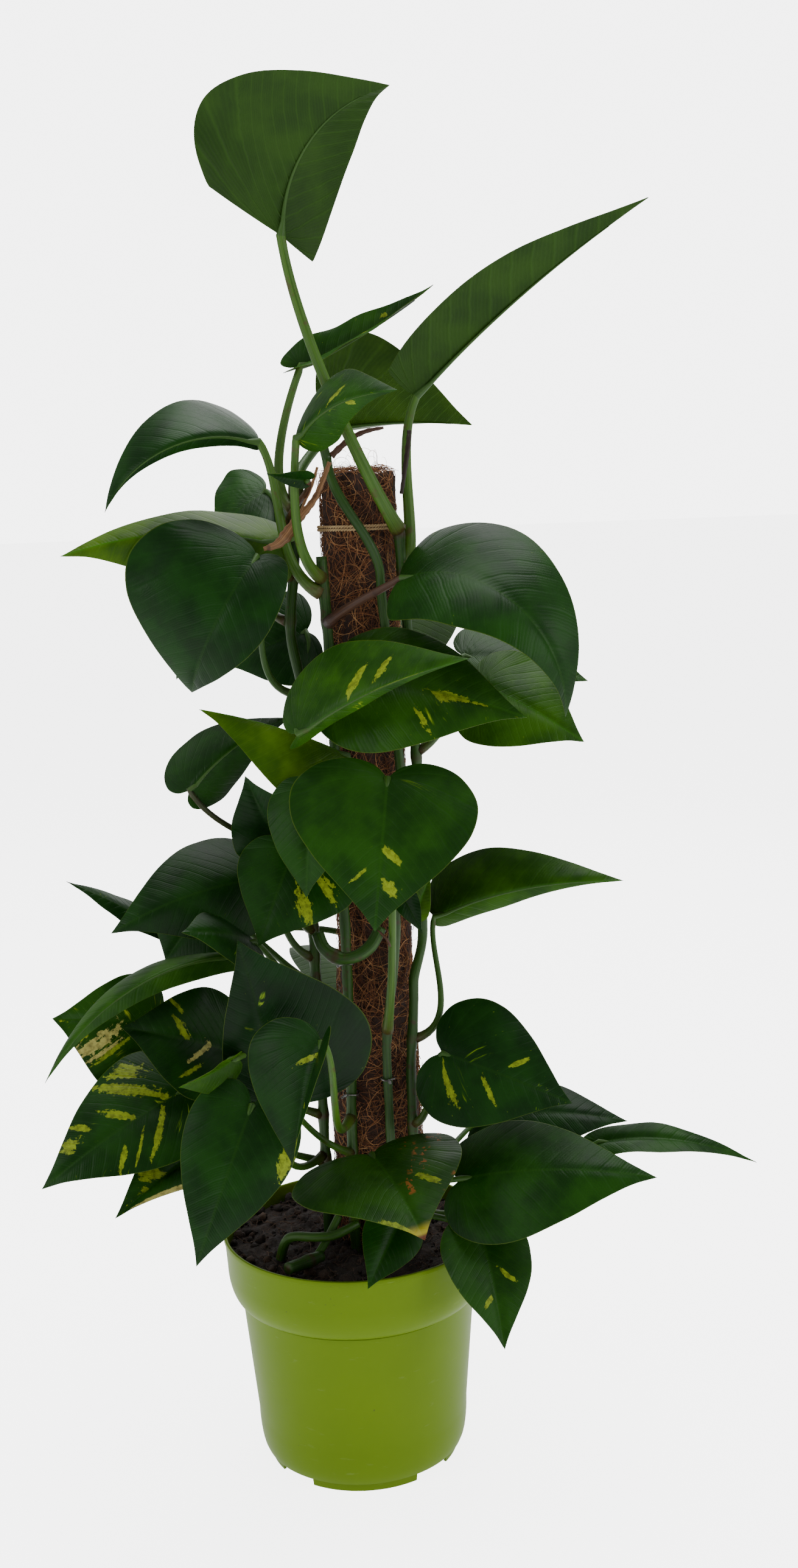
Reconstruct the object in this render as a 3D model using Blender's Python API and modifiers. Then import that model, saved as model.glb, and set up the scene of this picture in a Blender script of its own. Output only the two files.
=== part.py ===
"""Golden pothos (Epipremnum aureum) trained up a coir pole in a plastic nursery pot.

Metres, +Z up, the origin at the centre of the pot's underside. The plant is looked at along +Y.
Leaf rows are in centimetres, because a plant is measured with a ruler.
"""
from collections import namedtuple
from math import cos, pi, radians, sin, sqrt

import bmesh
import bpy
from mathutils import Vector

CM = 0.01
GAP = 0.0003                    # clearance between neighbouring solids

# Pot
POT_HEIGHT = 0.168
RIM_RADIUS = 0.095
LIP_HEIGHT = 0.0035             # bead round the mouth
LIP_STEP = 0.0008
COLLAR_HEIGHT = 0.023
SHOULDER_HEIGHT = 0.024
BODY_TOP_RADIUS = 0.876 * RIM_RADIUS
BODY_FOOT_RADIUS = 0.797 * RIM_RADIUS
FOOT_RADIUS = 0.726 * RIM_RADIUS
FOOT_HEIGHT = 0.007
HEEL_HEIGHT = 0.028             # rounded lower edge of the body
WALL = 0.0016
FLOOR = 0.002
PAD_RADIUS = 0.21 * RIM_RADIUS
NOTCHES = 4
NOTCH_WIDTH = 0.32 * RIM_RADIUS
DRAINS = 8
DRAIN_RADIUS = 0.004
DRAIN_CIRCLE = 0.463 * RIM_RADIUS
TURN_STEPS = 36

# Soil and pole
SOIL_DEPTH_BELOW_RIM = 0.010
SOIL_MOUND = 0.002
POLE_X, POLE_Y = 0.022, 0.005
POLE_RADIUS = 0.026
POLE_TOP = POT_HEIGHT + 0.532
POLE_FOOT = 0.18 * POT_HEIGHT
BULGE = 0.003                   # the loose coir stands out this much low down, above the soil
BULGE_FOOT = POT_HEIGHT - 0.006
BULGE_FULL = POT_HEIGHT + 0.080
BULGE_END = POT_HEIGHT + 0.200
STAKE_RADIUS = 0.011
TWINE_RADIUS = 0.0012
TWINE_HEIGHT = POLE_TOP - 0.037

# The plant was measured on a pot and pole of these sizes; it moves with them when they change
MEASURED_POT_HEIGHT = 0.168
MEASURED_RIM = 0.095
MEASURED_POLE = 0.026
LIFT = POT_HEIGHT - MEASURED_POT_HEIGHT
SPREAD = POLE_RADIUS - MEASURED_POLE

# Vines: thickness, then (bearing round the pole in degrees, stand-off from the sleeve and height in cm)
VINE_FOOT = 12.5
VINES = {
    "vine_left": (0.0036, ((190, 1.6, VINE_FOOT), (190, 1.6, 17), (186, 1.6, 27), (184, 1.7, 38),
                           (182, 1.9, 48), (182, 1.7, 55), (180, 2.3, 59.5), (178, 1.8, 65), (174, 1.4, 69.5))),
    "vine_front_left": (0.0036, ((233, 1.1, VINE_FOOT), (233, 1.1, 18), (232, 0.9, 24.5), (235, 0.9, 30),
                                 (235, 0.9, 38), (232, 0.9, 48), (229, 0.9, 58), (225, 1.0, 64.5))),
    "vine_front_right": (0.0032, ((279, 1.0, VINE_FOOT), (279, 1.0, 18), (278, 0.9, 30), (295, 0.9, 40),
                                  (309, 0.9, 49), (300, 0.9, 56), (292, 0.9, 63), (236, 0.8, 71))),
    "vine_right": (0.0034, ((305, 1.1, VINE_FOOT), (305, 1.1, 18), (306, 1.0, 28), (315, 1.0, 35),
                            (338, 1.0, 38.5), (345, 1.0, 45), (330, 1.0, 56), (318, 1.0, 66.5))),
    "vine_back": (0.0038, ((90, 1.1, VINE_FOOT), (90, 1.1, 18), (84, 0.9, 34), (94, 0.9, 50),
                           (88, 0.9, 62))),
}

# Wire ties: the vine each one is round, and its height in cm
TIES = {"tie_upper": ("vine_front_left", 36.8), "tie_lower": ("vine_front_left", 27.4),
        "tie_right": ("vine_front_right", 28.6)}
TIE_WIRE = 0.0006

# Leaves, in cm and degrees. The face is the way the upper side looks; halves are the widths of the
# blade left and right of the midrib as one looks from the base to the tip over the upper side, and
# folds turn them up. Full widens the blade towards the tip, and lobe is how far its lobes reach back.
Leaf = namedtuple("Leaf", "vine joint base tip face halves bend folds curl sweep full bow lobe",
                  defaults=(15, 0, 0, (0, 0, 0), 1))
LEAVES = {
    "leaf_01": Leaf("vine_right", 66, (-2, -3, 84.9), (5.2, -6, 93.1), (-3, 9, 3), (3.4, 6.4), 65, (45, 5),
                    10, -0.13, 0.5, (0, 3, 0), 0),
    "leaf_02": Leaf("vine_right", 63.5, (6.4, 0, 74.8), (21, -6, 86), (-4, 8, 3), (3, 3), 25, (75, 15), 10,
                    0, 0.4, (-2.2, 0, 0), 0.1),
    "leaf_03": Leaf("vine_left", 67.5, (-1.2, 1, 77.1), (7.7, -1, 81.8), (-3, -6, 6), (1.5, 1.3), -15,
                    (40, 40), 20),
    "leaf_04": Leaf("vine_left", 68.5, (1, 6.5, 73.2), (10.4, 5, 73), (0, 8, 5), (3.5, 7), 30, (60, 5),
                    10),
    "leaf_05": Leaf("vine_front_left", 63, (-1.5, -6.4, 72.1), (4.9, -10.2, 74.6), (-4, -5, 6), (4.8, 2),
                    60, (0, -75), 20, 0, 0, (-0.5, -1, 0), 0.5),
    "leaf_06": Leaf("vine_front_left", 62, (-4.1, -2, 72.1), (-14.3, -3, 67.9), (-2, -7, 7), (0.9, 5.2),
                    108, (-80, 0), 20, 0, 0, (0, 0, 0), 0.3),
    "leaf_07": Leaf("vine_left", 65.5, (-4.2, 5.7, 69), (-8, 5.2, 66), (-2, -6, 6), (3.5, 4.2), 40,
                    (0, 0)),
    "leaf_08": Leaf("vine_left", 63, (-3.3, -2.5, 65.6), (-17.3, -3.5, 65.2), (0, -5, 8), (4.2, 4.2), 40,
                    (-60, -5)),
    "leaf_09": Leaf("vine_left", 60, (-4.8, 1.5, 64.4), (-10.5, -1, 56.6), (-2, -9, 3), (2.2, 5.2), 30,
                    (5, 5), 10, 0, 0, (-1, 1.5, 0)),
    "leaf_10": Leaf("vine_left", 55, (-4.4, -5, 64.8), (-9.2, -4, 56), (-1, -9, 2), (2.6, 5.6), 100,
                    (5, 5), 10, 0, 1, (-1.5, 0, -1), 0.6),
    "leaf_12": Leaf("vine_left", 53, (-1.8, 5, 59.1), (-7.6, 6, 56.7), (-2, -7, 5), (4, 4), 30, (5, 5)),
    "leaf_13": Leaf("vine_front_left", 60, (4.8, -5, 63), (14.9, -8.5, 54), (3.5, -5, 7.5), (6, 4), 125,
                    (22, -20), 20, 0, 0, (0, 0, 0), 0.3),
    "leaf_14": Leaf("vine_right", 55, (9.3, 4, 57), (17.9, 3, 55), (1, -6, 7), (4, 4), 30, (0, 0)),
    "leaf_15": Leaf("vine_right", 51, (10.1, 0, 55.4), (16.9, -2, 51.4), (1, -8, 5), (3.8, 4), 30, (0, 0)),
    "leaf_16": Leaf("vine_front_left", 57, (-2.1, -9.5, 53.7), (8.6, -13, 58.4), (-2, -7, 6), (5.2, 1), 40,
                    (0, -75), 15, 0, 0, (-1, 0, 0)),
    "leaf_17": Leaf("vine_front_right", 53, (0.9, -6, 56.8), (12.3, -9.5, 54.2), (1, -8, 5), (4.6, 4.8),
                    35, (0, 0), 20, 0, 0, (0, -1, -0.5)),
    "leaf_18": Leaf("vine_left", 43.5, (-9.7, -4.5, 49.6), (-2.9, -1.5, 53.8), (-5, -7, 5), (4.6, 3), 50,
                    (-5, -80), 20),
    "leaf_19": Leaf("vine_front_left", 47, (0.9, -4.4, 51.5), (-8.6, -5.8, 55.1), (0, -7, 6), (4.4, 1.4),
                    35, (-12, -60), 10),
    "leaf_20": Leaf("vine_left", 41, (-4, -3, 45.3), (-6, -4, 50.3), (-3, -9, 1), (2.8, 3), 20, (15, 15)),
    "leaf_21": Leaf("vine_front_left", 44.5, (-1.2, -8, 49.8), (-2.1, -9.4, 43.1), (-3, -9, 3), (3.2, 3),
                    40, (10, 10), 15, 0, 0, (0, -1.5, 0)),
    "leaf_22": Leaf("vine_front_right", 32, (3.4, -9.5, 50.7), (2.2, -12.5, 41.5), (0, -9, 3), (5.8, 6),
                    35, (5, 5), 15, 0, 0, (0, 2, 3)),
    "leaf_23": Leaf("vine_left", 38.5, (-3, -6, 45.4), (-5.4, -8, 39.7), (0, -9, 4), (4.8, 3.2), 30,
                    (0, 0)),
    "leaf_26": Leaf("vine_right", 31, (6.4, 0, 39.2), (19.3, -3, 41.9), (0, -7, 7), (4.3, 1.5), 50,
                    (0, -75), 15, 0, 0, (1, -0.5, -0.5), 0.4),
    "leaf_28": Leaf("vine_left", 36.5, (-5.5, -2, 42.9), (-15.4, -5, 40.2), (-1, -7, 6), (4, 4.5), 50,
                    (-35, 0), 20),
    "leaf_29": Leaf("vine_back", 36, (-13, 1, 39), (-19, 0, 42.8), (0, -5, 8), (1, 1.6), 20, (-20, -20)),
    "leaf_30": Leaf("vine_left", 34.5, (-9.6, 0.5, 40.3), (-12.4, -1, 37.1), (-2, -8, 5), (4, 4), 30,
                    (5, 5), 15, 0, 0, (0, 2, 0)),
    "leaf_31": Leaf("vine_left", 34, (-5.8, -6, 39.5), (-10, -11, 41.6), (0, -6, 7), (3, 3.2), 30,
                    (-10, -10)),
    "leaf_32": Leaf("vine_left", 32, (-7.1, -5, 38.4), (-19.5, -10, 31.7), (-6, -5, 6), (1.5, 3.4), 75,
                    (-80, -15)),
    "leaf_33": Leaf("vine_left", 28, (-13.4, -2, 33.1), (-19.9, -4, 34.2), (-1, -9, 3), (5.6, 3.2), 30,
                    (5, 5)),
    "leaf_35": Leaf("vine_left", 29, (-8, -4.5, 31.6), (-14.8, -7, 34.3), (0, -8, 5), (3.6, 3.6), 30,
                    (5, 5), 15, 0, 0.3),
    "leaf_37": Leaf("vine_left", 25, (-11, -6, 29.5), (-20.2, -10, 24.5), (-2, -8, 5), (4, 4.4), 35,
                    (0, 0)),
    "leaf_38": Leaf("vine_left", 21.5, (-9.4, -6, 25.4), (-15.4, -11, 22.7), (-2, -7, 6), (2.6, 2.6), 35,
                    (25, 25)),
    "leaf_39": Leaf("vine_front_left", 23, (-4.1, -9.5, 29.7), (-6.5, -11, 40.9), (1, -9, 2), (3, 6.2), 20,
                    (10, 0), 10, 0, 0.3, (0, 0, 0), 0.7),
    "leaf_40": Leaf("vine_front_left", 25.5, (-1.4, -14, 35), (-3.5, -15.5, 27.6), (-4, -9, 2), (1.8, 4.6),
                    30, (60, 5), 15, 0, 0, (0, -3.5, -2.5)),
    "leaf_41": Leaf("vine_left", 22, (-6, -13, 30.7), (-9.8, -15.5, 21.2), (1, -8, 5), (3.7, 3.6), 35,
                    (0, 0), 15, 0, 0, (0, -1, -3.5)),
    "leaf_42": Leaf("vine_front_left", 18, (1.4, -6, 24.3), (4.6, -14, 21.6), (1, -6.5, 7.5), (5.6, 6.2),
                    35, (5, 5), 15, 0, 0, (0, 0, 0), 0.9),
    "leaf_43": Leaf("vine_right", 25, (6.5, -4, 30.6), (15.1, -6, 27.3), (1, -9, 4), (4.6, 4.4), 30,
                    (0, 0)),
    "leaf_44": Leaf("vine_right", 21, (9.6, 3, 23.2), (19.9, 1, 23.2), (0, -6, 8), (3.5, 3.5), 40,
                    (-5, -5)),
    "leaf_45": Leaf("vine_right", 18.5, (17.4, -2, 22.9), (28.1, -4, 21.7), (0, -4, 9), (1.3, 1.6), 50,
                    (10, 10), 15, 0, 0, (1, 0, -3)),
    "leaf_46": Leaf("vine_front_right", 20.5, (7.4, -6, 22.3), (20.3, -9, 23), (1, -7, 7), (4.6, 4.6), 50,
                    (-10, -10)),
    "leaf_47": Leaf("vine_front_right", 18.5, (8.6, -6.5, 18.6), (9.7, -11, 12.3), (3, -9, 2), (3.1, 3.2),
                    25, (10, 10)),
    "leaf_48": Leaf("vine_front_right", 17.3, (3, -8, 20.2), (0.8, -11, 17), (0, -8, 4), (2, 2), 30,
                    (10, 10)),
    "leaf_51": Leaf("vine_back", 57, (4, 8, 61), (7, 15, 54), (2, 7, 6), (4.8, 4.8), 45, (5, 5)),
    "leaf_52": Leaf("vine_back", 44, (0.5, 8.5, 49), (-3, 15.5, 42), (-2, 7, 6), (4.6, 4.6), 45, (5, 5)),
    "leaf_53": Leaf("vine_back", 28, (1, 9.5, 34), (-2, 16.5, 27.5), (1, 7, 6), (5, 5), 45, (5, 5)),
}
# Half outline of a blade: (along the midrib, out from it) as shares of the length, sinus to tip
OUTLINE = ((0, 0), (-0.085, 0.07), (-0.12, 0.19), (-0.06, 0.33), (0.11, 0.42), (0.33, 0.405), (0.55, 0.30),
           (0.74, 0.165), (0.88, 0.065), (1.0, 0.0))
WIDEST = 0.42
VEIN_SWEEP = 2.3                # how far the side veins lean towards the tip
BLADE_THICKNESS = 0.0008
BLADE_ROWS = 5
PETIOLE_RADIUS = 0.0024
MEASURED_PETIOLE = 0.0024
PETIOLE_TAPER = 0.7
JOINT_SPREAD = 1.4              # how much a vine's joints part for each unit of stalk thickness
PETIOLE_STEPS = 4

# Loose stems: thickness and points in cm
STEMS = {
    "stem_loop": (0.0042, ((-1.6, -5.4, 39.7), (-1.2, -5.9, 38.8), (-0.2, -6.3, 38.2), (0.9, -6.4, 38.3),
                           (1.9, -6.1, 38.9), (2.6, -5.6, 40.0))),
    "stem_stub": (0.0042, ((-4.6, -7.2, 16.9), (-3.4, -6.0, 16.75), (-2.4, -5.0, 16.7))),
}


# ---------------------------------------------------------------- materials and collections
def material(name, colour, roughness, metallic=0.0):
    mat = bpy.data.materials.new(name)
    mat.use_nodes = True
    bsdf = mat.node_tree.nodes["Principled BSDF"]
    bsdf.inputs["Base Color"].default_value = (*colour, 1)
    bsdf.inputs["Roughness"].default_value = roughness
    bsdf.inputs["Metallic"].default_value = metallic
    return mat


def add_object(name, data, mat=None, collection=None):
    obj = bpy.data.objects.new(name, data)
    (collection or PARTS).objects.link(obj)
    if mat:
        data.materials.clear()
        data.materials.append(mat)
    return obj


def helper(name, data):
    obj = add_object(name, data, collection=CUTTERS)
    obj.hide_render = True
    obj.display_type = "WIRE"
    return obj


# ---------------------------------------------------------------- general shapes
def turned(name, profile, mat, centre=(0, 0), closed=False, steps=TURN_STEPS):
    """A profile of (radius, height) turned round the vertical axis."""
    mesh = bpy.data.meshes.new(name)
    bm = bmesh.new()
    verts = [bm.verts.new((r, 0, z)) for r, z in profile]
    for a, b in zip(verts, verts[1:]):
        bm.edges.new((a, b))
    if closed:
        bm.edges.new((verts[-1], verts[0]))
    bm.to_mesh(mesh)
    bm.free()
    obj = add_object(name, mesh, mat)
    obj.location = (*centre, 0)
    screw = obj.modifiers.new("Turn", "SCREW")
    screw.steps = screw.render_steps = steps
    screw.use_merge_vertices = True
    screw.merge_threshold = 0.00005
    screw.use_smooth_shade = True
    return obj


def cylinder(name, radius, z0, z1, x=0.0, y=0.0, segments=16):
    mesh = bpy.data.meshes.new(name)
    bm = bmesh.new()
    bmesh.ops.create_cone(bm, cap_ends=True, segments=segments, radius1=radius, radius2=radius, depth=z1 - z0)
    bmesh.ops.translate(bm, verts=bm.verts, vec=(x, y, (z0 + z1) / 2))
    bm.to_mesh(mesh)
    bm.free()
    return mesh


def boolean(obj, cutter, operation="DIFFERENCE"):
    mod = obj.modifiers.new(cutter.name, "BOOLEAN")
    mod.operation = operation
    mod.solver = "EXACT"
    mod.object = cutter


def tube_mesh(name, points, radius, taper=1.0, resolution=2):
    """A bevelled curve through the points, made a closed mesh."""
    curve = bpy.data.curves.new(name, "CURVE")
    curve.dimensions = "3D"
    curve.bevel_depth = radius
    curve.bevel_resolution = resolution
    curve.use_fill_caps = True
    spline = curve.splines.new("POLY")
    spline.points.add(len(points) - 1)
    for i, p in enumerate(points):
        spline.points[i].co = (*p, 1)
        spline.points[i].radius = 1 + (taper - 1) * i / (len(points) - 1)
    temp = add_object(name + "_curve", curve, collection=CUTTERS)
    bpy.context.view_layer.update()
    mesh = bpy.data.meshes.new_from_object(temp.evaluated_get(bpy.context.evaluated_depsgraph_get()))
    bpy.data.objects.remove(temp)
    bpy.data.curves.remove(curve)
    bm = bmesh.new()
    bm.from_mesh(mesh)
    bmesh.ops.remove_doubles(bm, verts=bm.verts, dist=0.00002)
    bm.to_mesh(mesh)
    bm.free()
    mesh.name = name
    mesh.shade_smooth()
    mesh.set_sharp_from_angle(angle=radians(50))
    return mesh


def smooth_path(points, step):
    """Catmull-Rom points through a route, about one step apart."""
    pts = [Vector(p) for p in points]
    out = []
    for i in range(len(pts) - 1):
        p0, p1, p2, p3 = pts[max(i - 1, 0)], pts[i], pts[i + 1], pts[min(i + 2, len(pts) - 1)]
        n = max(1, round((p2 - p1).length / step))
        for k in range(n):
            t = k / n
            out.append(0.5 * (2 * p1 + (p2 - p0) * t + (2 * p0 - 5 * p1 + 4 * p2 - p3) * t * t
                              + (3 * p1 - p0 - 3 * p2 + p3) * t ** 3))
    return out + [pts[-1]]


# ---------------------------------------------------------------- pot
def shoulder_radius(share):
    """The quarter round from the collar in to the body, share 0 at the collar."""
    top = RIM_RADIUS - LIP_STEP - 0.0012
    return BODY_TOP_RADIUS + (top - BODY_TOP_RADIUS) * sqrt(max(0.0, 1 - share ** 2))


def outer_wall():
    """(radius, height) down the outside of the pot, from under the lip to the heel."""
    collar_z = POT_HEIGHT - COLLAR_HEIGHT
    body_z = collar_z - SHOULDER_HEIGHT
    wall = [(RIM_RADIUS - LIP_STEP, POT_HEIGHT - LIP_HEIGHT)]
    wall += [(shoulder_radius(s / 5), collar_z - SHOULDER_HEIGHT * s / 5) for s in range(6)]
    heel_z = FOOT_HEIGHT + HEEL_HEIGHT
    wall += [(BODY_TOP_RADIUS + 0.0004, body_z - 0.0006), (BODY_FOOT_RADIUS, heel_z)]
    for s in (0.6, 1.0):
        wall.append((FOOT_RADIUS + 0.0015 + (BODY_FOOT_RADIUS - FOOT_RADIUS - 0.0015) * sqrt(1 - (s * 0.97) ** 2),
                     heel_z - HEEL_HEIGHT * s))
    return wall


def inner_wall(inset):
    """The inside of the pot, bottom to top, moved in by the inset."""
    wall = [(r - inset, z) for r, z in outer_wall() if z > FOOT_HEIGHT + FLOOR + 0.002]
    return [(wall[-1][0] - 0.001, FOOT_HEIGHT + FLOOR)] + wall[::-1]


def build_pot():
    inner = inner_wall(WALL)
    mouth = RIM_RADIUS - 0.0024
    profile = [(0, FOOT_HEIGHT + FLOOR)] + inner + [(mouth, POT_HEIGHT - 0.0006), (mouth + 0.0006, POT_HEIGHT)]
    profile += [(RIM_RADIUS - 0.0006, POT_HEIGHT), (RIM_RADIUS, POT_HEIGHT - 0.0006),
                (RIM_RADIUS, POT_HEIGHT - LIP_HEIGHT + 0.0004)]
    profile += outer_wall() + [(FOOT_RADIUS, FOOT_HEIGHT - 0.0004), (FOOT_RADIUS - 0.0008, 0)]
    profile += [(FOOT_RADIUS - 0.0028, 0), (FOOT_RADIUS - 0.0028, FOOT_HEIGHT), (PAD_RADIUS, FOOT_HEIGHT),
                (PAD_RADIUS, 0), (0, 0)]
    pot = turned("pot", profile, material("lime_plastic", (0.23, 0.36, 0.02), 0.38))
    cutters = bmesh.new()
    for k in range(NOTCHES):
        turn = 2 * pi * (k + 0.5) / NOTCHES
        box = bmesh.ops.create_cube(cutters, size=1)["verts"]
        bmesh.ops.scale(cutters, verts=box, vec=(0.016, NOTCH_WIDTH, 2 * FOOT_HEIGHT - 0.0012))
        bmesh.ops.translate(cutters, verts=box, vec=(FOOT_RADIUS - 0.002, 0, 0))
        rotate(cutters, box, turn)
    for k in range(DRAINS):
        ring = bmesh.ops.create_cone(cutters, cap_ends=True, segments=16, radius1=DRAIN_RADIUS,
                                     radius2=DRAIN_RADIUS, depth=4 * FLOOR)["verts"]
        bmesh.ops.translate(cutters, verts=ring, vec=(DRAIN_CIRCLE, 0, FOOT_HEIGHT + FLOOR / 2))
        rotate(cutters, ring, 2 * pi * k / DRAINS)
    mesh = bpy.data.meshes.new("pot_cuts")
    cutters.to_mesh(mesh)
    cutters.free()
    boolean(pot, helper("pot_cuts", mesh))


def rotate(bm, verts, angle):
    for v in verts:
        x, y = v.co.x, v.co.y
        v.co.x, v.co.y = x * cos(angle) - y * sin(angle), x * sin(angle) + y * cos(angle)


# ---------------------------------------------------------------- vines
def joint_shift(leaf):
    """How far, in cm, stalks thicker than measured push a leaf's joint up its vine."""
    below = sum(other.vine == leaf.vine and other.joint < leaf.joint for other in LEAVES.values())
    return below * JOINT_SPREAD * (PETIOLE_RADIUS - MEASURED_PETIOLE) / CM


def vine_point(name, height):
    """Centre of a vine at a height in cm, in metres."""
    route = VINES[name][1]
    for (b0, s0, z0), (b1, s1, z1) in zip(route, route[1:]):
        if height <= z1 or (b1, s1, z1) == route[-1]:
            t = min(1.0, (height - z0) / (z1 - z0))
            t = t * t * (3 - 2 * t)
            bearing, off = radians(b0 + (b1 - b0) * t), POLE_RADIUS + (s0 + (s1 - s0) * t) * CM
            return Vector((POLE_X + off * cos(bearing), POLE_Y + off * sin(bearing), height * CM + LIFT))


def planted(point):
    """A measured point in cm, in metres: it rises with the rim and keeps its distance from the sleeve."""
    x, y, z = (c * CM for c in point)
    away = Vector((x - POLE_X, y - POLE_Y, 0)).normalized()
    return Vector((x, y, z + LIFT)) + away * SPREAD


def build_vines():
    bark = material("vine_green", (0.07, 0.16, 0.03), 0.5)
    for name, (radius, route) in VINES.items():
        foot = route[0][2]
        top = route[-1][2] + max(joint_shift(leaf) for leaf in LEAVES.values() if leaf.vine == name)
        count = round((top - foot) / 3.5)
        points = [vine_point(name, foot + (top - foot) * k / count) for k in range(count + 1)]
        add_object(name, tube_mesh(name, points, radius), bark)
    for name, (radius, route) in STEMS.items():
        wider = RIM_RADIUS / MEASURED_RIM if name == "stem_stub" else 1
        points = smooth_path([planted((x * wider, y * wider, z)) for x, y, z in route], 0.008)
        add_object(name, tube_mesh(name, points, radius), bark)


# ---------------------------------------------------------------- soil, pole and ties
def build_soil():
    top = POT_HEIGHT - SOIL_DEPTH_BELOW_RIM
    wall = [(r, z) for r, z in inner_wall(WALL + GAP) if z < top - 0.001]
    bottom = FOOT_HEIGHT + FLOOR + GAP
    wall[0] = (wall[0][0], bottom)
    side = RIM_RADIUS - LIP_STEP - WALL - 0.0022
    profile = [(0, top + SOIL_MOUND), (0.045, top + SOIL_MOUND * 0.7), (side - 0.006, top), (side, top - 0.0015)]
    profile += wall[::-1] + [(0, bottom)]
    soil = turned("soil", profile, material("potting_soil", (0.03, 0.018, 0.01), 0.95))
    boolean(soil, helper("pole_hole", cylinder("pole_hole", POLE_RADIUS + GAP, POLE_FOOT - GAP, POT_HEIGHT + 0.02,
                                               POLE_X, POLE_Y, TURN_STEPS)))
    holes = bmesh.new()
    for name, (radius, route) in VINES.items():
        x, y, foot = vine_point(name, route[0][2])
        depth = POT_HEIGHT + 0.02 - (foot - GAP)
        ring = bmesh.ops.create_cone(holes, cap_ends=True, segments=12, radius1=radius + 2 * GAP,
                                     radius2=radius + 2 * GAP, depth=depth)["verts"]
        bmesh.ops.translate(holes, verts=ring, vec=(x, y, POT_HEIGHT + 0.02 - depth / 2))
    mesh = bpy.data.meshes.new("vine_holes")
    holes.to_mesh(mesh)
    holes.free()
    boolean(soil, helper("vine_holes", mesh))


def build_pole():
    inner = STAKE_RADIUS + GAP
    turned("coir_sleeve", [(inner, POLE_TOP), (POLE_RADIUS - 0.003, POLE_TOP), (POLE_RADIUS, POLE_TOP - 0.003),
                           (POLE_RADIUS, BULGE_END), (POLE_RADIUS + BULGE, BULGE_FULL),
                           (POLE_RADIUS + BULGE, BULGE_FOOT), (POLE_RADIUS, BULGE_FOOT),
                           (POLE_RADIUS, POLE_FOOT), (inner, POLE_FOOT)],
           material("coir", (0.16, 0.07, 0.03), 0.95), (POLE_X, POLE_Y), closed=True)
    stake = cylinder("pole_stake", STAKE_RADIUS, POLE_FOOT, POLE_TOP - 0.004, segments=24)
    obj = add_object("pole_stake", stake, material("stake_wood", (0.25, 0.16, 0.08), 0.8))
    obj.location = (POLE_X, POLE_Y, 0)
    ring = POLE_RADIUS + GAP + TWINE_RADIUS
    band = [(ring + TWINE_RADIUS * cos(a), TWINE_HEIGHT - TWINE_RADIUS * sin(a))
            for a in (2 * pi * k / 6 for k in range(6))]
    turned("twine_band", band, material("straw_twine", (0.45, 0.33, 0.16), 0.85), (POLE_X, POLE_Y), closed=True)


def build_ties():
    wire = material("tie_wire", (0.3, 0.3, 0.3), 0.35, 1.0)
    for name, (vine, height) in TIES.items():
        centre = vine_point(vine, height)
        ring = VINES[vine][0] + GAP + 2 * TIE_WIRE
        band = [(ring + TIE_WIRE * cos(a), centre.z - TIE_WIRE * sin(a))
                for a in (2 * pi * k / 6 for k in range(6))]
        turned(name, band, wire, centre[:2], closed=True, steps=16)


# ---------------------------------------------------------------- leaves
def outline(t):
    """Catmull-Rom point of the half outline, t from 0 at the sinus to 1 at the tip."""
    last = len(OUTLINE) - 1
    i = min(int(t * last), last - 1)
    f = t * last - i
    p0, p1, p2, p3 = (OUTLINE[min(max(k, 0), last)] for k in (i - 1, i, i + 1, i + 2))
    return [0.5 * (2 * b + (c - a) * f + (2 * a - 5 * b + 4 * c - d) * f * f + (3 * b - a - 3 * c + d) * f ** 3)
            for a, b, c, d in zip(p0, p1, p2, p3)]


def leaf_frame(leaf):
    """Base point, blade length, and the axes along, across and up from the blade."""
    base, tip = planted(leaf.base), planted(leaf.tip)
    along = (tip - base).normalized()
    face = Vector(leaf.face)
    up = (face - along * face.dot(along)).normalized()
    bend = radians(leaf.bend)
    return base, (tip - base).length * bend / (2 * sin(bend / 2)), along, up.cross(along), up


def blade_point(leaf, t, v, rise=0.0):
    """Point of the blade: t along the outline, v from -1 (right edge) to 1 (left edge)."""
    base, length, along, across, up = leaf_frame(leaf)
    side = 1 if v >= 0 else -1
    share = leaf.halves[0 if v >= 0 else 1] * CM / length / WIDEST
    ea, eb = outline(t)
    ea = ea if ea > 0 else ea * leaf.lobe
    mid = t ** VEIN_SWEEP
    a = mid + (ea - mid) * abs(v) ** 1.25
    b = eb * abs(v) * share * (1 + leaf.full * max(0.0, ea))
    fold = radians(leaf.folds[0 if v >= 0 else 1])
    slope = fold - radians(leaf.curl) * min(1.0, b / (WIDEST * share)) / 2
    y = b * cos(slope) * side + leaf.sweep * 4 * max(0.0, min(1.0, a)) * (1 - max(0.0, min(1.0, a)))
    z = b * sin(slope) + rise / length
    bend = radians(leaf.bend)
    turn = bend * (a - 0.5)
    x = (sin(turn) + sin(bend / 2)) / bend + z * sin(turn)
    h = (cos(turn) - cos(bend / 2)) / bend + z * cos(turn)
    return base + length * (x * along + y * across + h * up)


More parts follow.
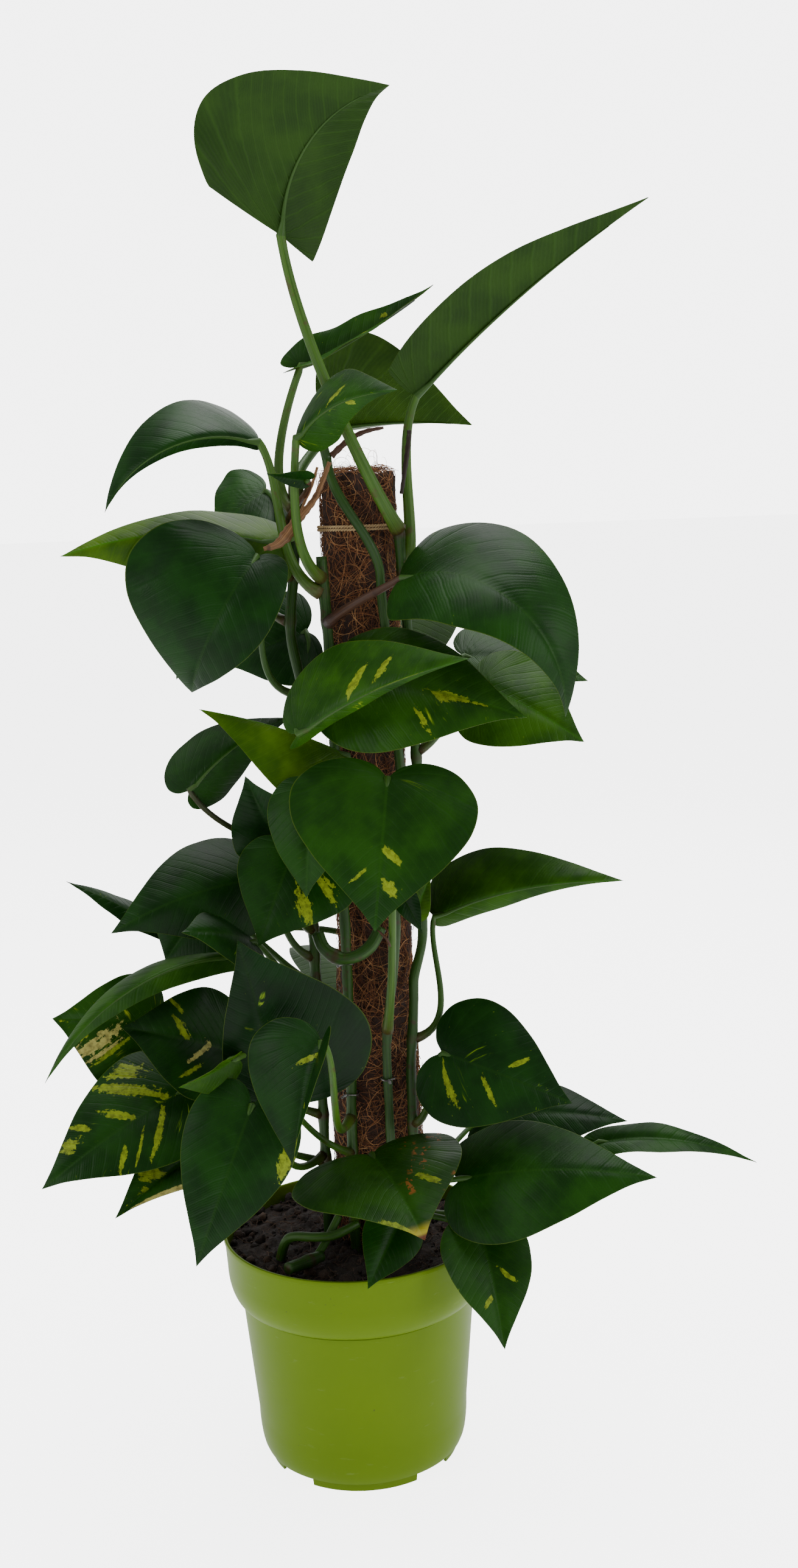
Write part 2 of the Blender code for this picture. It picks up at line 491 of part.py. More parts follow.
def petiole_path(leaf):
    """From just off the vine, out and up, and in along the start of the midrib."""
    base, length, along, across, up = leaf_frame(leaf)
    vine = vine_point(leaf.vine, leaf.joint + joint_shift(leaf))
    radial = Vector((vine.x - POLE_X, vine.y - POLE_Y, 0)).normalized()
    to_base = Vector((base.x - vine.x, base.y - vine.y, 0))
    out = to_base.normalized() + 0.6 * radial
    if out.dot(radial) < 0.35:
        out += (0.35 - out.dot(radial)) * radial
    out = (out.normalized() + Vector((0, 0, 0.5))).normalized()
    start = vine + out * (VINES[leaf.vine][0] + PETIOLE_RADIUS * 1.1 + GAP)
    reach = (base - start).length
    half = radians(leaf.bend) / 2
    enter = (cos(half) * along + sin(half) * up + 2.2 * (base - start).normalized()).normalized()
    bow = Vector(leaf.bow) * CM
    p1, p2 = start + out * reach * 0.35 + bow, base - enter * reach * 0.3 + 0.3 * bow
    path = []
    for k in range(PETIOLE_STEPS + 1):
        t = k / PETIOLE_STEPS
        path.append(start * (1 - t) ** 3 + p1 * 3 * t * (1 - t) ** 2 + p2 * 3 * t * t * (1 - t) + base * t ** 3)
    path.append(blade_point(leaf, 0.34, 0, -PETIOLE_RADIUS * 0.5))
    return path


def build_leaf(name, leaf, mat):
    mesh = bpy.data.meshes.new(name)
    bm = bmesh.new()
    bmesh.ops.create_grid(bm, x_segments=BLADE_ROWS, y_segments=4, size=0.5)
    for v in bm.verts:
        v.co = blade_point(leaf, v.co.x + 0.5, v.co.y * 2)
    bmesh.ops.remove_doubles(bm, verts=bm.verts, dist=0.0002)
    bm.to_mesh(mesh)
    bm.free()
    mesh.shade_smooth()
    obj = add_object(name, mesh, mat)
    shell = obj.modifiers.new("Thickness", "SOLIDIFY")
    shell.thickness = BLADE_THICKNESS
    shell.offset = 0
    petiole = tube_mesh(name + "_petiole", petiole_path(leaf), PETIOLE_RADIUS, PETIOLE_TAPER, 1)
    boolean(obj, helper(name + "_petiole", petiole), "UNION")
    return obj


def build_leaves():
    green = material("pothos_leaf", (0.03, 0.10, 0.015), 0.35)
    for name, leaf in LEAVES.items():
        build_leaf(name, leaf, green)


for old in list(bpy.data.objects):
    bpy.data.objects.remove(old)
PARTS = bpy.data.collections.new("potted_pothos")
CUTTERS = bpy.data.collections.new("potted_pothos_cutters")
for group in (PARTS, CUTTERS):
    bpy.context.scene.collection.children.link(group)
build_pot()
build_soil()
build_pole()
build_vines()
build_ties()
build_leaves()
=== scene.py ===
"""Looks of the potted golden pothos on its coir pole: living leaves and vines, coir, soil, lime pot."""
from collections import namedtuple
from math import cos, pi, radians, sin, sqrt

import bmesh
import bpy
import numpy as np
from mathutils import Matrix, Vector


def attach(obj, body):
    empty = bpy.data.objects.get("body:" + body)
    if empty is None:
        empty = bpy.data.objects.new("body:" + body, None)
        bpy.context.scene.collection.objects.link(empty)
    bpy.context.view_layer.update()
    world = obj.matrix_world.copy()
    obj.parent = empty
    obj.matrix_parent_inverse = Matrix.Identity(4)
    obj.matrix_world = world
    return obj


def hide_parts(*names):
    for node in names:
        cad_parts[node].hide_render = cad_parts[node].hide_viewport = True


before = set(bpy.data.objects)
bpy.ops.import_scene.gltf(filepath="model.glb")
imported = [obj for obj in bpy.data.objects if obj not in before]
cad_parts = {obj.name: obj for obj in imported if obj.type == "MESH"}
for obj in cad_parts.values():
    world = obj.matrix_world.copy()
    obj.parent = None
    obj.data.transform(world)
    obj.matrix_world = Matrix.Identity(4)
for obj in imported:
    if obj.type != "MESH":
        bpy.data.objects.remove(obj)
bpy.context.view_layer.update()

CM = 0.01

# ---------------------------------------------------------------- sizes, as in the CAD model
POT_HEIGHT = 0.168
RIM_RADIUS = 0.095
LIP_HEIGHT = 0.0035
LIP_STEP = 0.0008
COLLAR_HEIGHT = 0.023
SHOULDER_HEIGHT = 0.024
BODY_TOP_RADIUS = 0.876 * RIM_RADIUS
BODY_FOOT_RADIUS = 0.797 * RIM_RADIUS
FOOT_RADIUS = 0.726 * RIM_RADIUS
FOOT_HEIGHT = 0.007
HEEL_HEIGHT = 0.028
WALL = 0.0016
FLOOR = 0.002
PAD_RADIUS = 0.21 * RIM_RADIUS
NOTCHES = 4
NOTCH_WIDTH = 0.32 * RIM_RADIUS
DRAINS = 8
DRAIN_RADIUS = 0.004
DRAIN_CIRCLE = 0.463 * RIM_RADIUS
SOIL_TOP = POT_HEIGHT - 0.010
POLE_X, POLE_Y = 0.022, 0.005
POLE_RADIUS = 0.026
POLE_TOP = POT_HEIGHT + 0.532
BULGE = 0.003
BULGE_FOOT = POT_HEIGHT - 0.006
BULGE_FULL = POT_HEIGHT + 0.080
BULGE_END = POT_HEIGHT + 0.200
STAKE_RADIUS = 0.011
TWINE_HEIGHT = POLE_TOP - 0.037
SLEEVE_BOTTOM = 0.032
# These two are the looks' own: how much more the loose coir stands out low on the left, and how far
# the matted surface lies inside the outermost fibres
LEFT_BULGE = 0.0065
MAT_DEPTH = 0.0016
WELD_DISTANCE = 0.00001

VINE_FOOT = 12.5
VINES = {
    "vine_left": (0.0036, ((190, 1.6, VINE_FOOT), (190, 1.6, 17), (186, 1.6, 27), (184, 1.7, 38),
                           (182, 1.9, 48), (182, 1.7, 55), (180, 2.3, 59.5), (178, 1.8, 65),
                           (174, 1.4, 69.5))),
    "vine_front_left": (0.0036, ((233, 1.1, VINE_FOOT), (233, 1.1, 18), (232, 0.9, 24.5), (235, 0.9, 30),
                                 (235, 0.9, 38), (232, 0.9, 48), (229, 0.9, 58), (225, 1.0, 64.5))),
    "vine_front_right": (0.0032, ((279, 1.0, VINE_FOOT), (279, 1.0, 18), (278, 0.9, 30), (295, 0.9, 40),
                                  (309, 0.9, 49), (300, 0.9, 56), (292, 0.9, 63), (236, 0.8, 71))),
    "vine_right": (0.0034, ((305, 1.1, VINE_FOOT), (305, 1.1, 18), (306, 1.0, 28), (315, 1.0, 35),
                            (338, 1.0, 38.5), (345, 1.0, 45), (330, 1.0, 56), (318, 1.0, 66.5))),
    "vine_back": (0.0038, ((90, 1.1, VINE_FOOT), (90, 1.1, 18), (84, 0.9, 34), (94, 0.9, 50),
                           (88, 0.9, 62))),
}

# Wire ties: the vine each one is round, and its height in cm
TIES = {"tie_upper": ("vine_front_left", 36.8), "tie_lower": ("vine_front_left", 27.4),
        "tie_right": ("vine_front_right", 28.6)}
TIE_WIRE = 0.0006
TAIL_LENGTH = 0.006

# Leaves, in cm and degrees. The face is the way the upper side looks; halves are the widths of the
# blade left and right of the midrib as one looks from the base to the tip over the upper side, and
# folds turn them up. Full widens the blade towards the tip, and lobe is how far its lobes reach back.
Leaf = namedtuple("Leaf", "vine joint base tip face halves bend folds curl sweep full bow lobe",
                  defaults=(15, 0, 0, (0, 0, 0), 1))
LEAVES = {
    "leaf_01": Leaf("vine_right", 66, (-2, -3, 84.9), (5.2, -6, 93.1), (-3, 9, 3), (3.4, 6.4), 65, (45, 5),
        curl=10, sweep=-0.13, full=0.5, bow=(0, 3, 0), lobe=0),
    "leaf_02": Leaf("vine_right", 63.5, (6.4, 0, 74.8), (21, -6, 86), (-4, 8, 3), (3, 3), 25, (75, 15),
        curl=10, full=0.4, bow=(-2.2, 0, 0), lobe=0.1),
    "leaf_03": Leaf("vine_left", 67.5, (-1.2, 1, 77.1), (7.7, -1, 81.8), (-3, -6, 6), (1.5, 1.3), -15,
        (40, 40), curl=20),
    "leaf_04": Leaf("vine_left", 68.5, (1, 6.5, 73.2), (10.4, 5, 73), (0, 8, 5), (3.5, 7), 30, (60, 5),
        curl=10),
    "leaf_05": Leaf("vine_front_left", 63, (-1.5, -6.4, 72.1), (4.9, -10.2, 74.6), (-4, -5, 6), (4.8, 2),
        60, (0, -75), curl=20, bow=(-0.5, -1, 0), lobe=0.5),
    "leaf_06": Leaf("vine_front_left", 62, (-4.1, -2, 72.1), (-14.3, -3, 67.9), (-2, -7, 7), (0.9, 5.2),
        108, (-80, 0), curl=20, lobe=0.3),
    "leaf_07": Leaf("vine_left", 65.5, (-4.2, 5.7, 69), (-8, 5.2, 66), (-2, -6, 6), (3.5, 4.2), 40, (0, 0)),
    "leaf_08": Leaf("vine_left", 63, (-3.3, -2.5, 65.6), (-17.3, -3.5, 65.2), (0, -5, 8), (4.2, 4.2), 40,
        (-60, -5)),
    "leaf_09": Leaf("vine_left", 60, (-4.8, 1.5, 64.4), (-10.5, -1, 56.6), (-2, -9, 3), (2.2, 5.2), 30,
        (5, 5), curl=10, bow=(-1, 1.5, 0)),
    "leaf_10": Leaf("vine_left", 55, (-4.4, -5, 64.8), (-9.2, -4, 56), (-1, -9, 2), (2.6, 5.6), 100, (5, 5),
        curl=10, full=1, bow=(-1.5, 0, -1), lobe=0.6),
    "leaf_12": Leaf("vine_left", 53, (-1.8, 5, 59.1), (-7.6, 6, 56.7), (-2, -7, 5), (4, 4), 30, (5, 5)),
    "leaf_13": Leaf("vine_front_left", 60, (4.8, -5, 63), (14.9, -8.5, 54), (3.5, -5, 7.5), (6, 4), 125,
        (22, -20), curl=20, lobe=0.3),
    "leaf_14": Leaf("vine_right", 55, (9.3, 4, 57), (17.9, 3, 55), (1, -6, 7), (4, 4), 30, (0, 0)),
    "leaf_15": Leaf("vine_right", 51, (10.1, 0, 55.4), (16.9, -2, 51.4), (1, -8, 5), (3.8, 4), 30, (0, 0)),
    "leaf_16": Leaf("vine_front_left", 57, (-2.1, -9.5, 53.7), (8.6, -13, 58.4), (-2, -7, 6), (5.2, 1), 40,
        (0, -75), bow=(-1, 0, 0)),
    "leaf_17": Leaf("vine_front_right", 53, (0.9, -6, 56.8), (12.3, -9.5, 54.2), (1, -8, 5), (4.6, 4.8), 35,
        (0, 0), curl=20, bow=(0, -1, -0.5)),
    "leaf_18": Leaf("vine_left", 43.5, (-9.7, -4.5, 49.6), (-2.9, -1.5, 53.8), (-5, -7, 5), (4.6, 3), 50,
        (-5, -80), curl=20),
    "leaf_19": Leaf("vine_front_left", 47, (0.9, -4.4, 51.5), (-8.6, -5.8, 55.1), (0, -7, 6), (4.4, 1.4),
        35, (-12, -60), curl=10),
    "leaf_20": Leaf("vine_left", 41, (-4, -3, 45.3), (-6, -4, 50.3), (-3, -9, 1), (2.8, 3), 20, (15, 15)),
    "leaf_21": Leaf("vine_front_left", 44.5, (-1.2, -8, 49.8), (-2.1, -9.4, 43.1), (-3, -9, 3), (3.2, 3),
        40, (10, 10), bow=(0, -1.5, 0)),
    "leaf_22": Leaf("vine_front_right", 32, (3.4, -9.5, 50.7), (2.2, -12.5, 41.5), (0, -9, 3), (5.8, 6), 35,
        (5, 5), bow=(0, 2, 3)),
    "leaf_23": Leaf("vine_left", 38.5, (-3, -6, 45.4), (-5.4, -8, 39.7), (0, -9, 4), (4.8, 3.2), 30,
        (0, 0)),
    "leaf_26": Leaf("vine_right", 31, (6.4, 0, 39.2), (19.3, -3, 41.9), (0, -7, 7), (4.3, 1.5), 50,
        (0, -75), bow=(1, -0.5, -0.5), lobe=0.4),
    "leaf_28": Leaf("vine_left", 36.5, (-5.5, -2, 42.9), (-15.4, -5, 40.2), (-1, -7, 6), (4, 4.5), 50,
        (-35, 0), curl=20),
    "leaf_29": Leaf("vine_back", 36, (-13, 1, 39), (-19, 0, 42.8), (0, -5, 8), (1, 1.6), 20, (-20, -20)),
    "leaf_30": Leaf("vine_left", 34.5, (-9.6, 0.5, 40.3), (-12.4, -1, 37.1), (-2, -8, 5), (4, 4), 30,
        (5, 5), bow=(0, 2, 0)),
    "leaf_31": Leaf("vine_left", 34, (-5.8, -6, 39.5), (-10, -11, 41.6), (0, -6, 7), (3, 3.2), 30,
        (-10, -10)),
    "leaf_32": Leaf("vine_left", 32, (-7.1, -5, 38.4), (-19.5, -10, 31.7), (-6, -5, 6), (1.5, 3.4), 75,
        (-80, -15)),
    "leaf_33": Leaf("vine_left", 28, (-13.4, -2, 33.1), (-19.9, -4, 34.2), (-1, -9, 3), (5.6, 3.2), 30,
        (5, 5)),
    "leaf_35": Leaf("vine_left", 29, (-8, -4.5, 31.6), (-14.8, -7, 34.3), (0, -8, 5), (3.6, 3.6), 30,
        (5, 5), full=0.3),
    "leaf_37": Leaf("vine_left", 25, (-11, -6, 29.5), (-20.2, -10, 24.5), (-2, -8, 5), (4, 4.4), 35,
        (0, 0)),
    "leaf_38": Leaf("vine_left", 21.5, (-9.4, -6, 25.4), (-15.4, -11, 22.7), (-2, -7, 6), (2.6, 2.6), 35,
        (25, 25)),
    "leaf_39": Leaf("vine_front_left", 23, (-4.1, -9.5, 29.7), (-6.5, -11, 40.9), (1, -9, 2), (3, 6.2), 20,
        (10, 0), curl=10, full=0.3, lobe=0.7),
    "leaf_40": Leaf("vine_front_left", 25.5, (-1.4, -14, 35), (-3.5, -15.5, 27.6), (-4, -9, 2), (1.8, 4.6),
        30, (60, 5), bow=(0, -3.5, -2.5)),
    "leaf_41": Leaf("vine_left", 22, (-6, -13, 30.7), (-9.8, -15.5, 21.2), (1, -8, 5), (3.7, 3.6), 35,
        (0, 0), bow=(0, -1, -3.5)),
    "leaf_42": Leaf("vine_front_left", 18, (1.4, -6, 24.3), (4.6, -14, 21.6), (1, -6.5, 7.5), (5.6, 6.2),
        35, (5, 5), lobe=0.9),
    "leaf_43": Leaf("vine_right", 25, (6.5, -4, 30.6), (15.1, -6, 27.3), (1, -9, 4), (4.6, 4.4), 30,
        (0, 0)),
    "leaf_44": Leaf("vine_right", 21, (9.6, 3, 23.2), (19.9, 1, 23.2), (0, -6, 8), (3.5, 3.5), 40,
        (-5, -5)),
    "leaf_45": Leaf("vine_right", 18.5, (17.4, -2, 22.9), (28.1, -4, 21.7), (0, -4, 9), (1.3, 1.6), 50,
        (10, 10), bow=(1, 0, -3)),
    "leaf_46": Leaf("vine_front_right", 20.5, (7.4, -6, 22.3), (20.3, -9, 23), (1, -7, 7), (4.6, 4.6), 50,
        (-10, -10)),
    "leaf_47": Leaf("vine_front_right", 18.5, (8.6, -6.5, 18.6), (9.7, -11, 12.3), (3, -9, 2), (3.1, 3.2),
        25, (10, 10)),
    "leaf_48": Leaf("vine_front_right", 17.3, (3, -8, 20.2), (0.8, -11, 17), (0, -8, 4), (2, 2), 30,
        (10, 10)),
    "leaf_51": Leaf("vine_back", 57, (4, 8, 61), (7, 15, 54), (2, 7, 6), (4.8, 4.8), 45, (5, 5)),
    "leaf_52": Leaf("vine_back", 44, (0.5, 8.5, 49), (-3, 15.5, 42), (-2, 7, 6), (4.6, 4.6), 45, (5, 5)),
    "leaf_53": Leaf("vine_back", 28, (1, 9.5, 34), (-2, 16.5, 27.5), (1, 7, 6), (5, 5), 45, (5, 5)),
}
OUTLINE = ((0, 0), (-0.085, 0.07), (-0.12, 0.19), (-0.06, 0.33), (0.11, 0.42), (0.33, 0.405), (0.55, 0.30),
           (0.74, 0.165), (0.88, 0.065), (1.0, 0.0))
WIDEST = 0.42
VEIN_SWEEP = 2.3
PETIOLE_RADIUS = 0.0024
STEMS = {
    "stem_loop": (0.0042, ((-1.6, -5.4, 39.7), (-1.2, -5.9, 38.8), (-0.2, -6.3, 38.2), (0.9, -6.4, 38.3),
                           (1.9, -6.1, 38.9), (2.6, -5.6, 40.0))),
    "stem_stub": (0.0042, ((-4.6, -7.2, 16.9), (-3.4, -6.0, 16.75), (-2.4, -5.0, 16.7))),
}

# The top leaf is looked at closely: its narrow half opens flatter than the plain solid's
LEAVES["leaf_01"] = LEAVES["leaf_01"]._replace(halves=(3.3, 6.2), folds=(14, 8))

# How each leaf looks: tone (1 is a mature dark leaf, more is younger and brighter; it is also set leaf by
# leaf to the brightness each leaf shows, which paints in light, as on leaf_08, brightened where the lamps
# leave it in shade), variegation 0 to 1, ripple of the margin, petiole colour and how much thicker than usual
# the petiole looks
Look = namedtuple("Look", "tone variegation ripple petiole stalk", defaults=("green", 1.0))
PLAIN = Look(1.0, 0.25, 0.5)
LOOKS = {
    "leaf_01": Look(1.25, 0.08, 0.3, "light", 1.9), "leaf_02": Look(1.25, 0.08, 0.2, "light", 1.8),
    "leaf_03": Look(1.5, 0.45, 0.8, "light", 1.5), "leaf_04": Look(1.9, 0.15, 0.3, "green", 1.8),
    "leaf_05": Look(1.5, 0.50, 0.3, "light", 1.5), "leaf_06": Look(0.8, 0.10, 0.2, "light", 1.6),
    "leaf_07": Look(1.1, 0.35, 0.4), "leaf_08": Look(3.0, 0.25, 0.4), "leaf_09": Look(1.0, 0.10, 0.3),
    "leaf_10": Look(0.75, 0.08, 0.5), "leaf_12": Look(0.8, 0.12, 0.4),
    "leaf_13": Look(1.0, 0.20, 0.4, "dry", 1.35), "leaf_14": Look(1.5, 0.20, 0.4),
    "leaf_15": Look(2.1, 0.30, 0.4), "leaf_16": Look(1.8, 0.35, 0.3, "green", 1.2),
    "leaf_17": Look(1.6, 0.30, 0.3), "leaf_18": Look(1.1, 0.12, 0.3, "brown"),
    "leaf_19": Look(3.1, 0.20, 0.4), "leaf_20": Look(0.7, 0.12, 0.6), "leaf_21": Look(1.2, 0.15, 0.3),
    "leaf_22": Look(1.3, 0.25, 0.3, "light", 1.25), "leaf_23": Look(1.0, 0.25, 0.4),
    "leaf_24": Look(0.7, 0.10, 0.3), "leaf_25": Look(2.6, 0.40, 0.3, "dry"),
    "leaf_26": Look(2.0, 0.10, 0.3), "leaf_28": Look(0.85, 0.15, 0.3), "leaf_29": Look(0.8, 0.15, 0.4),
    "leaf_30": Look(0.9, 0.25, 0.3), "leaf_31": Look(0.8, 0.15, 0.3), "leaf_32": Look(1.8, 0.08, 0.2),
    "leaf_33": Look(1.4, 0.55, 0.5), "leaf_35": Look(0.9, 0.35, 0.4),
    "leaf_36": Look(2.3, 0.15, 0.4, "light", 1.2), "leaf_37": Look(1.0, 0.35, 0.4),
    "leaf_38": Look(1.1, 0.40, 0.4), "leaf_39": Look(0.50, 0.30, 0.3),
    "leaf_40": Look(0.80, 0.15, 0.3, "light", 1.2), "leaf_41": Look(0.85, 0.12, 0.4, "green", 1.1),
    "leaf_42": Look(1.6, 0.20, 0.3, "green", 1.2), "leaf_43": Look(0.8, 0.40, 0.3),
    "leaf_44": Look(0.7, 0.10, 0.3), "leaf_45": Look(1.2, 0.15, 0.5), "leaf_46": Look(1.1, 0.15, 0.3),
    "leaf_47": Look(1.3, 0.35, 0.4), "leaf_48": Look(1.0, 0.20, 0.3),
    "leaf_54": Look(0.8, 0.10, 0.2, "dry"),
}
# Bold patches: lane (a place along the midrib) and side (-1 to 1) of the middle, and half sizes in each.
# They are long across a leaf, because they follow its side veins.
LIME, CREAM = (0.21, 0.28, 0.014), (0.40, 0.37, 0.10)
PATCHES = {
    "leaf_03": ((0.45, -0.45, 0.03, 0.25, LIME), (0.62, 0.40, 0.03, 0.20, LIME)),
    "leaf_05": ((0.40, 0.35, 0.04, 0.25, LIME), (0.60, -0.35, 0.03, 0.20, LIME)),
    "leaf_16": ((0.54, -0.16, 0.28, 0.13, LIME), (0.34, 0.30, 0.03, 0.25, LIME),
                (0.50, 0.45, 0.03, 0.25, LIME)),
    "leaf_17": ((0.60, -0.10, 0.15, 0.18, LIME), (0.35, -0.55, 0.03, 0.25, LIME)),
    "leaf_22": ((0.68, 0.45, 0.05, 0.30, LIME), (0.47, 0.25, 0.04, 0.20, LIME),
                (0.55, -0.55, 0.02, 0.2, LIME)),
    "leaf_23": ((0.17, 0.65, 0.11, 0.38, LIME), (-0.10, 0.55, 0.04, 0.25, LIME)),
    "leaf_33": ((0.32, 0.60, 0.15, 0.50, CREAM), (0.10, 0.55, 0.04, 0.35, LIME),
                (0.58, 0.5, 0.05, 0.35, LIME)),
    "leaf_35": ((0.42, -0.30, 0.05, 0.26, LIME), (0.23, 0.15, 0.035, 0.26, CREAM),
                (0.10, 0.55, 0.03, 0.2, LIME), (0.30, -0.80, 0.03, 0.2, LIME)),
    "leaf_37": ((-0.03, -0.72, 0.055, 0.24, LIME), (0.12, -0.50, 0.060, 0.42, LIME),
                (0.36, -0.28, 0.035, 0.30, LIME), (0.51, -0.75, 0.035, 0.24, LIME),
                (0.67, -0.80, 0.070, 0.26, LIME), (0.15, 0.35, 0.025, 0.36, LIME),
                (0.40, 0.78, 0.025, 0.28, LIME), (0.28, 0.55, 0.015, 0.3, LIME)),
    "leaf_38": ((0.52, -0.50, 0.08, 0.40, LIME), (0.10, -0.65, 0.10, 0.34, CREAM),
                (0.45, 0.92, 0.4, 0.12, CREAM), (0.70, -0.2, 0.04, 0.3, LIME)),
    "leaf_40": ((0.80, 0.85, 0.07, 0.26, LIME), (0.12, -0.1, 0.035, 0.2, LIME),
                (0.45, 0.5, 0.015, 0.1, LIME)),
    "leaf_41": ((0.02, 0.86, 0.075, 0.14, LIME),),
    "leaf_42": ((0.78, -0.98, 0.26, 0.16, LIME), (0.30, 0.62, 0.05, 0.22, LIME)),
    "leaf_43": ((-0.05, -0.45, 0.03, 0.25, LIME), (0.30, -0.35, 0.03, 0.24, LIME),
                (0.45, 0.45, 0.02, 0.2, LIME)),
    "leaf_47": ((0.30, 0.45, 0.03, 0.25, LIME), (0.55, -0.45, 0.03, 0.25, LIME)),
}
VEINS = 11                      # side veins on each half of a blade
BLADE_THICKNESS = 0.0006
# Relief of a blade: depths of the cushions, the midrib's channel, the margin's ripple and the warp
QUILT, CHANNEL, CHANNEL_WIDTH, RIPPLE, WARP = 0.0003, 0.0009, 0.0028, 0.0022, 0.0016
LEAF_ROWS, LEAF_COLUMNS = 76, 28


# ---------------------------------------------------------------- shader graphs
class Graph:
    """A material's node tree, built with short calls. Numbers or sockets may be given as inputs."""

    def __init__(self, name, **constants):
        self.mat = bpy.data.materials.new(name)
        self.mat.use_nodes = True
        self.tree = self.mat.node_tree
        self.bsdf = self.tree.nodes["Principled BSDF"]
        for key, value in constants.items():
            self.bsdf.inputs[key.replace("_", " ")].default_value = value

    def add(self, kind, inputs=(), **settings):
        node = self.tree.nodes.new(kind)
        for key, value in settings.items():
            setattr(node, key, value)
        for key, value in dict(inputs).items():
            self.feed(node.inputs[key], value)
        return node

    def feed(self, socket, value):
        if isinstance(value, bpy.types.NodeSocket):
            self.tree.links.new(value, socket)
        elif isinstance(value, tuple) and len(value) == 3 and socket.type == "RGBA":
            socket.default_value = (*value, 1)
        else:
            socket.default_value = value

    def math(self, operation, a, b=0.0):
        return self.add("ShaderNodeMath", {0: a, 1: b}, operation=operation).outputs[0]

    def plus(self, a, b):
        return self.math("ADD", a, b)

    def minus(self, a, b):
        return self.math("SUBTRACT", a, b)

    def times(self, a, b):
        return self.math("MULTIPLY", a, b)

    def over(self, a, b):
        return self.math("DIVIDE", a, b)

    def line(self, value, slope, start):
        """value times slope, plus start."""
        return self.plus(self.times(value, slope), start)

    def step(self, value, low, high, to_low=0.0, to_high=1.0):
        """Smooth step from to_low at low to to_high at high."""
        node = self.add("ShaderNodeMapRange", {"Value": value, "From Min": low, "From Max": high,
                                               "To Min": to_low, "To Max": to_high},
                        interpolation_type="SMOOTHSTEP")
        return node.outputs[0]

    def vector(self, x, y, z=0.0):
        return self.add("ShaderNodeCombineXYZ", {0: x, 1: y, 2: z}).outputs[0]

    def split(self, vector):
        return self.add("ShaderNodeSeparateXYZ", {0: vector}).outputs

    def noise(self, vector, scale, detail=3.0, roughness=0.5, distortion=0.0):
        node = self.add("ShaderNodeTexNoise", {"Vector": vector, "Scale": scale, "Detail": detail,
                                               "Roughness": roughness, "Distortion": distortion})
        return node.outputs["Fac"]

    def mix(self, factor, a, b):
        node = self.add("ShaderNodeMix", data_type="RGBA")
        for index, value in ((0, factor), (6, a), (7, b)):
            self.feed(node.inputs[index], value)
        return node.outputs[2]

    def ramp(self, factor, *stops):
        node = self.add("ShaderNodeValToRGB", {"Fac": factor})
        ramp = node.color_ramp
        while len(ramp.elements) < len(stops):
            ramp.elements.new(0.5)
        for element, (place, colour) in zip(ramp.elements, stops):
            element.position, element.color = place, (*colour, 1)
        return node.outputs["Color"]

    def uv(self, name):
        return self.add("ShaderNodeUVMap", uv_map=name).outputs[0]

    def place(self):
        return self.add("ShaderNodeTexCoord").outputs["Object"]

    def attribute(self, name):
        return self.add("ShaderNodeAttribute", attribute_name=name).outputs["Fac"]

    def bump(self, height, strength, distance, normal=None):
        inputs = {"Height": height, "Strength": strength, "Distance": distance}
        if normal:
            inputs["Normal"] = normal
        return self.add("ShaderNodeBump", inputs).outputs[0]

    def finish(self, colour, roughness, normal=None):
        self.feed(self.bsdf.inputs["Base Color"], colour)
        self.feed(self.bsdf.inputs["Roughness"], roughness)
        if normal:
            self.feed(self.bsdf.inputs["Normal"], normal)
        return self.mat


def shade(colour, factor):
    return tuple(min(1.0, c * factor) for c in colour)


def leaf_veins(g):
    """What both sides of a leaf share: its coordinates, and masks for the side veins and finer ribs."""
    lane, v, _ = g.split(g.uv("veins"))
    flat = g.uv("flat")
    wobble = g.noise(flat, 60, 2)
    lane = g.plus(g.times(lane, float(VEINS)), g.times(wobble, 0.30))
    vein = g.step(g.math("PINGPONG", lane, 0.5), 0.0, 0.16, 1.0, 0.0)
    fine = g.step(g.math("PINGPONG", g.times(lane, 5.0), 0.5), 0.0, 0.4, 1.0, 0.0)
    side = g.minus(g.times(v, 2.0), 1.0)
    return flat, lane, side, wobble, vein, fine


def leaf_patches(g, name, colour, flat, lane, side, streak):
    """Bold patches, whose outlines the streaks pull out along the veins."""
    for place, spot, width, reach, paint in PATCHES.get(name.removesuffix("_upper"), ()):
        near = g.over(g.minus(g.over(lane, float(VEINS)), place), width)
        reached = g.over(g.minus(side, spot), reach)
        away = g.math("SQRT", g.plus(g.math("POWER", near, 2.0), g.math("POWER", reached, 2.0)))
        pull, fray = (3.0, 2.2) if reach > width else (0.8, 1.1)
        away = g.plus(away, g.times(g.minus(streak, 0.5), pull))
        away = g.plus(away, g.times(g.minus(g.noise(flat, 300, 4, 0.7), 0.5), fray))
        dull = g.mix(g.step(g.noise(flat, 240, 4, 0.7), 0.30, 0.62), shade(paint, 0.42), paint)
        colour = g.mix(g.step(away, 0.80, 1.0, 1.0, 0.0), colour, dull)
    return colour


def leaf_ageing(g, colour, flat, along, side):
    """Rusty spots on one half, and a dry tip."""
    spots = g.step(g.noise(flat, 190, 2, 0.6), 0.56, 0.60)
    spots = g.times(spots, g.step(g.noise(flat, 34, 1), 0.50, 0.55))
    colour = g.mix(g.times(spots, g.step(side, 0.05, 0.3)), colour, (0.20, 0.075, 0.012))
    colour = g.mix(g.step(along, 0.078, 0.087), colour, (0.34, 0.29, 0.02))
    return g.mix(g.step(along, 0.086, 0.089), colour, (0.10, 0.03, 0.01))


